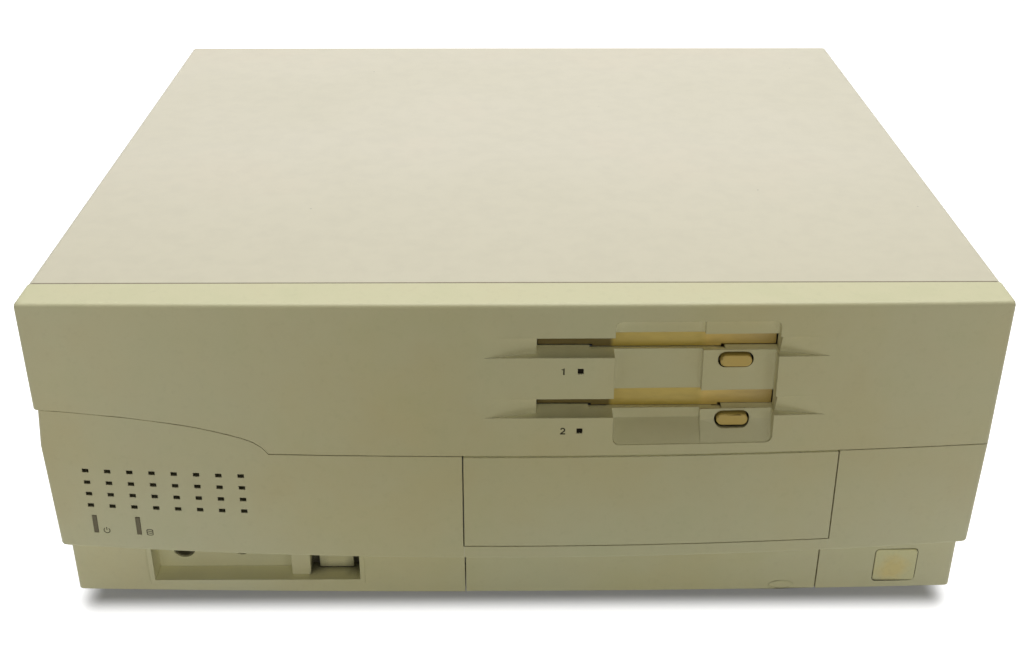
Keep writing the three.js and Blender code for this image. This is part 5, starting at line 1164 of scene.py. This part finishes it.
class MakeStage(bpy.types.Operator):
    """Floor, lamps, world and camera"""

    bl_idname = "desktop_unit.stage"
    bl_label = "Stage"

    def execute(self, context):
        _, _, stage = settings()
        scene = context.scene
        scene.view_settings.view_transform = "Standard"
        self.make_floor(stage)
        self.make_world(scene, stage)
        for lamp, strength in zip(LAMPS, (stage.overhead, stage.fill)):
            self.make_lamp(*lamp, strength)
        self.make_camera(scene, stage)
        return {"FINISHED"}

    def make_floor(self, stage):
        """One large face under the machine."""
        bm = bmesh.new()
        corner_shares = ((-1, -1), (1, -1), (1, 1), (-1, 1))
        bm.faces.new([bm.verts.new((x * FLOOR_REACH, y * FLOOR_REACH, 0.0)) for x, y in corner_shares])
        mesh = bpy.data.meshes.new("floor")
        bm.to_mesh(mesh)
        bm.free()
        mesh.materials.append(self.floor_material(stage))
        linked("floor", mesh)

    def floor_material(self, stage):
        """Matt pale card seen as white, with the real shadow near the machine and a painted fade."""
        material = bpy.data.materials.new("Pale studio floor")
        material.use_nodes = True
        tree = material.node_tree
        tree.nodes.clear()
        place = add(tree, "ShaderNodeTexCoord", out="Object")
        base = linear(stage.floor)
        clouds = add(tree, NOISE, {"Vector": place, "Scale": per(400), "Detail": 3.0, "Roughness": 0.55})
        tone = add(tree, RAMP, {0: clouds}, stops=[(0.3, scaled(base, 0.985)), (0.7, base)])
        matt = add(tree, "ShaderNodeBsdfDiffuse", {"Color": tone})
        lit = add(tree, "ShaderNodeBsdfDiffuse", {"Color": grey(0.6)})
        strength = self.glow_strength(tree, place, stage)
        glow = add(tree, "ShaderNodeEmission", {"Color": WHITE, "Strength": strength})
        seen = add(tree, "ShaderNodeAddShader", {0: lit, 1: glow})
        both = add(tree, "ShaderNodeMixShader", {0: self.seen_directly(tree), 1: matt, 2: seen})
        add(tree, "ShaderNodeOutputMaterial", {"Surface": both})
        return material

    def glow_strength(self, tree, place, stage):
        """How strongly the floor glows: little under the machine and fully away from its outline.

        The rise of the glow paints the fade at the edge of the floor's shadow.
        """
        pan_low, pan_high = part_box("chassis_pan")
        inset = stage.shadow_start * MM
        low = Vector((pan_low.x + inset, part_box("skirt_cover")[0].y + inset, 0.0))
        high = Vector((pan_high.x - inset, pan_high.y - inset, 0.0))
        beyond = add(tree, VECTOR, {0: place, 1: (low + high) / 2}, operation="SUBTRACT")
        beyond = add(tree, VECTOR, {0: beyond}, operation="ABSOLUTE")
        beyond = add(tree, VECTOR, {0: beyond, 1: (high - low) / 2}, operation="SUBTRACT")
        beyond = add(tree, VECTOR, {0: beyond, 1: (0.0, 0.0, 0.0)}, operation="MAXIMUM")
        away = add(tree, VECTOR, {0: beyond}, "Value", operation="LENGTH")
        return add(tree, RANGE, {"Value": away, "From Max": stage.shadow * MM, "To Min": LEAST_GLOW,
                                 "To Max": 1.0}, interpolation_type="SMOOTHSTEP")

    def seen_directly(self, tree):
        """One for rays of the camera, of gloss and of clear pieces, and zero for the rest."""
        path = add(tree, "ShaderNodeLightPath").node.outputs
        bent = add(tree, MATH, {0: path["Is Glossy Ray"], 1: path["Is Transmission Ray"]},
                   operation="MAXIMUM")
        return add(tree, MATH, {0: path["Is Camera Ray"], 1: bent}, operation="MAXIMUM")

    def make_world(self, scene, stage):
        """White behind everything, and a low even light from all round."""
        world = bpy.data.worlds.new("Studio")
        scene.world = world
        world.use_nodes = True
        tree = world.node_tree
        tree.nodes.clear()
        seen = add(tree, "ShaderNodeBackground", {"Color": WHITE, "Strength": 1.0})
        soft = add(tree, "ShaderNodeBackground", {"Color": WHITE, "Strength": stage.sky})
        both = add(tree, "ShaderNodeMixShader", {0: self.seen_directly(tree), 1: soft, 2: seen})
        add(tree, "ShaderNodeOutputWorld", {"Surface": both})

    def make_lamp(self, name, place, target, size, strength):
        """A rectangular lamp that faces its target."""
        light = bpy.data.lights.new(name, "AREA")
        light.shape = "RECTANGLE"
        light.size, light.size_y = size
        light.energy = strength
        lamp = linked(name, light)
        lamp.location = place
        lamp.rotation_euler = (Vector(target) - Vector(place)).to_track_quat("-Z", "Y").to_euler()

    def make_camera(self, scene, stage):
        """The camera at the place and angle worked out from the case's edges."""
        yaw, pitch, roll = stage.camera_turn
        ahead = Vector((math.sin(yaw) * math.cos(pitch), math.cos(yaw) * math.cos(pitch), -math.sin(pitch)))
        level = Vector((math.cos(yaw), -math.sin(yaw), 0.0))
        upright = level.cross(ahead)
        right = math.cos(roll) * level + math.sin(roll) * upright
        up = math.cos(roll) * upright - math.sin(roll) * level
        data = bpy.data.cameras.new("camera")
        data.sensor_width = FRAME_WIDTH
        data.sensor_fit = "HORIZONTAL"
        data.lens = stage.lens
        camera = linked("camera", data)
        turn = Matrix((right, up, -ahead)).transposed().to_4x4()
        camera.matrix_world = Matrix.Translation(Vector(stage.camera_place) * MM) @ turn
        scene.camera = camera


class DesktopUnitPanel(bpy.types.Panel):
    """Lists the steps and their settings"""

    bl_idname = "VIEW3D_PT_desktop_unit"
    bl_label = "Desktop computer"
    bl_space_type = "VIEW_3D"
    bl_region_type = "UI"
    bl_category = "Desktop computer"

    def draw(self, context):
        for step in STEPS:
            self.layout.operator(step.bl_idname)
        for group in settings():
            box = self.layout.box()
            for name in group.__annotations__:
                box.prop(group, name)


STEPS = (MakeSteelCover, MakeFrontMouldings, MakeKeys, MakeLamps, MakePrintedMarks, MakeFeet, MakeChassis,
         MakeElectronics, MakeRearFittings, MakeStage)
GROUPS = (("moulding_settings", MouldingSettings), ("cover_settings", CoverSettings),
          ("stage_settings", StageSettings))


def register():
    for name, group in GROUPS:
        bpy.utils.register_class(group)
        setattr(bpy.types.Scene, name, PointerProperty(type=group))
    for step in STEPS:
        bpy.utils.register_class(step)
    bpy.utils.register_class(DesktopUnitPanel)


def unregister():
    bpy.utils.unregister_class(DesktopUnitPanel)
    for step in reversed(STEPS):
        bpy.utils.unregister_class(step)
    for name, group in reversed(GROUPS):
        delattr(bpy.types.Scene, name)
        bpy.utils.unregister_class(group)


def main():
    register()
    for step in STEPS:
        family, action = step.bl_idname.split(".")
        getattr(getattr(bpy.ops, family), action)()


if __name__ == "__main__":
    main()
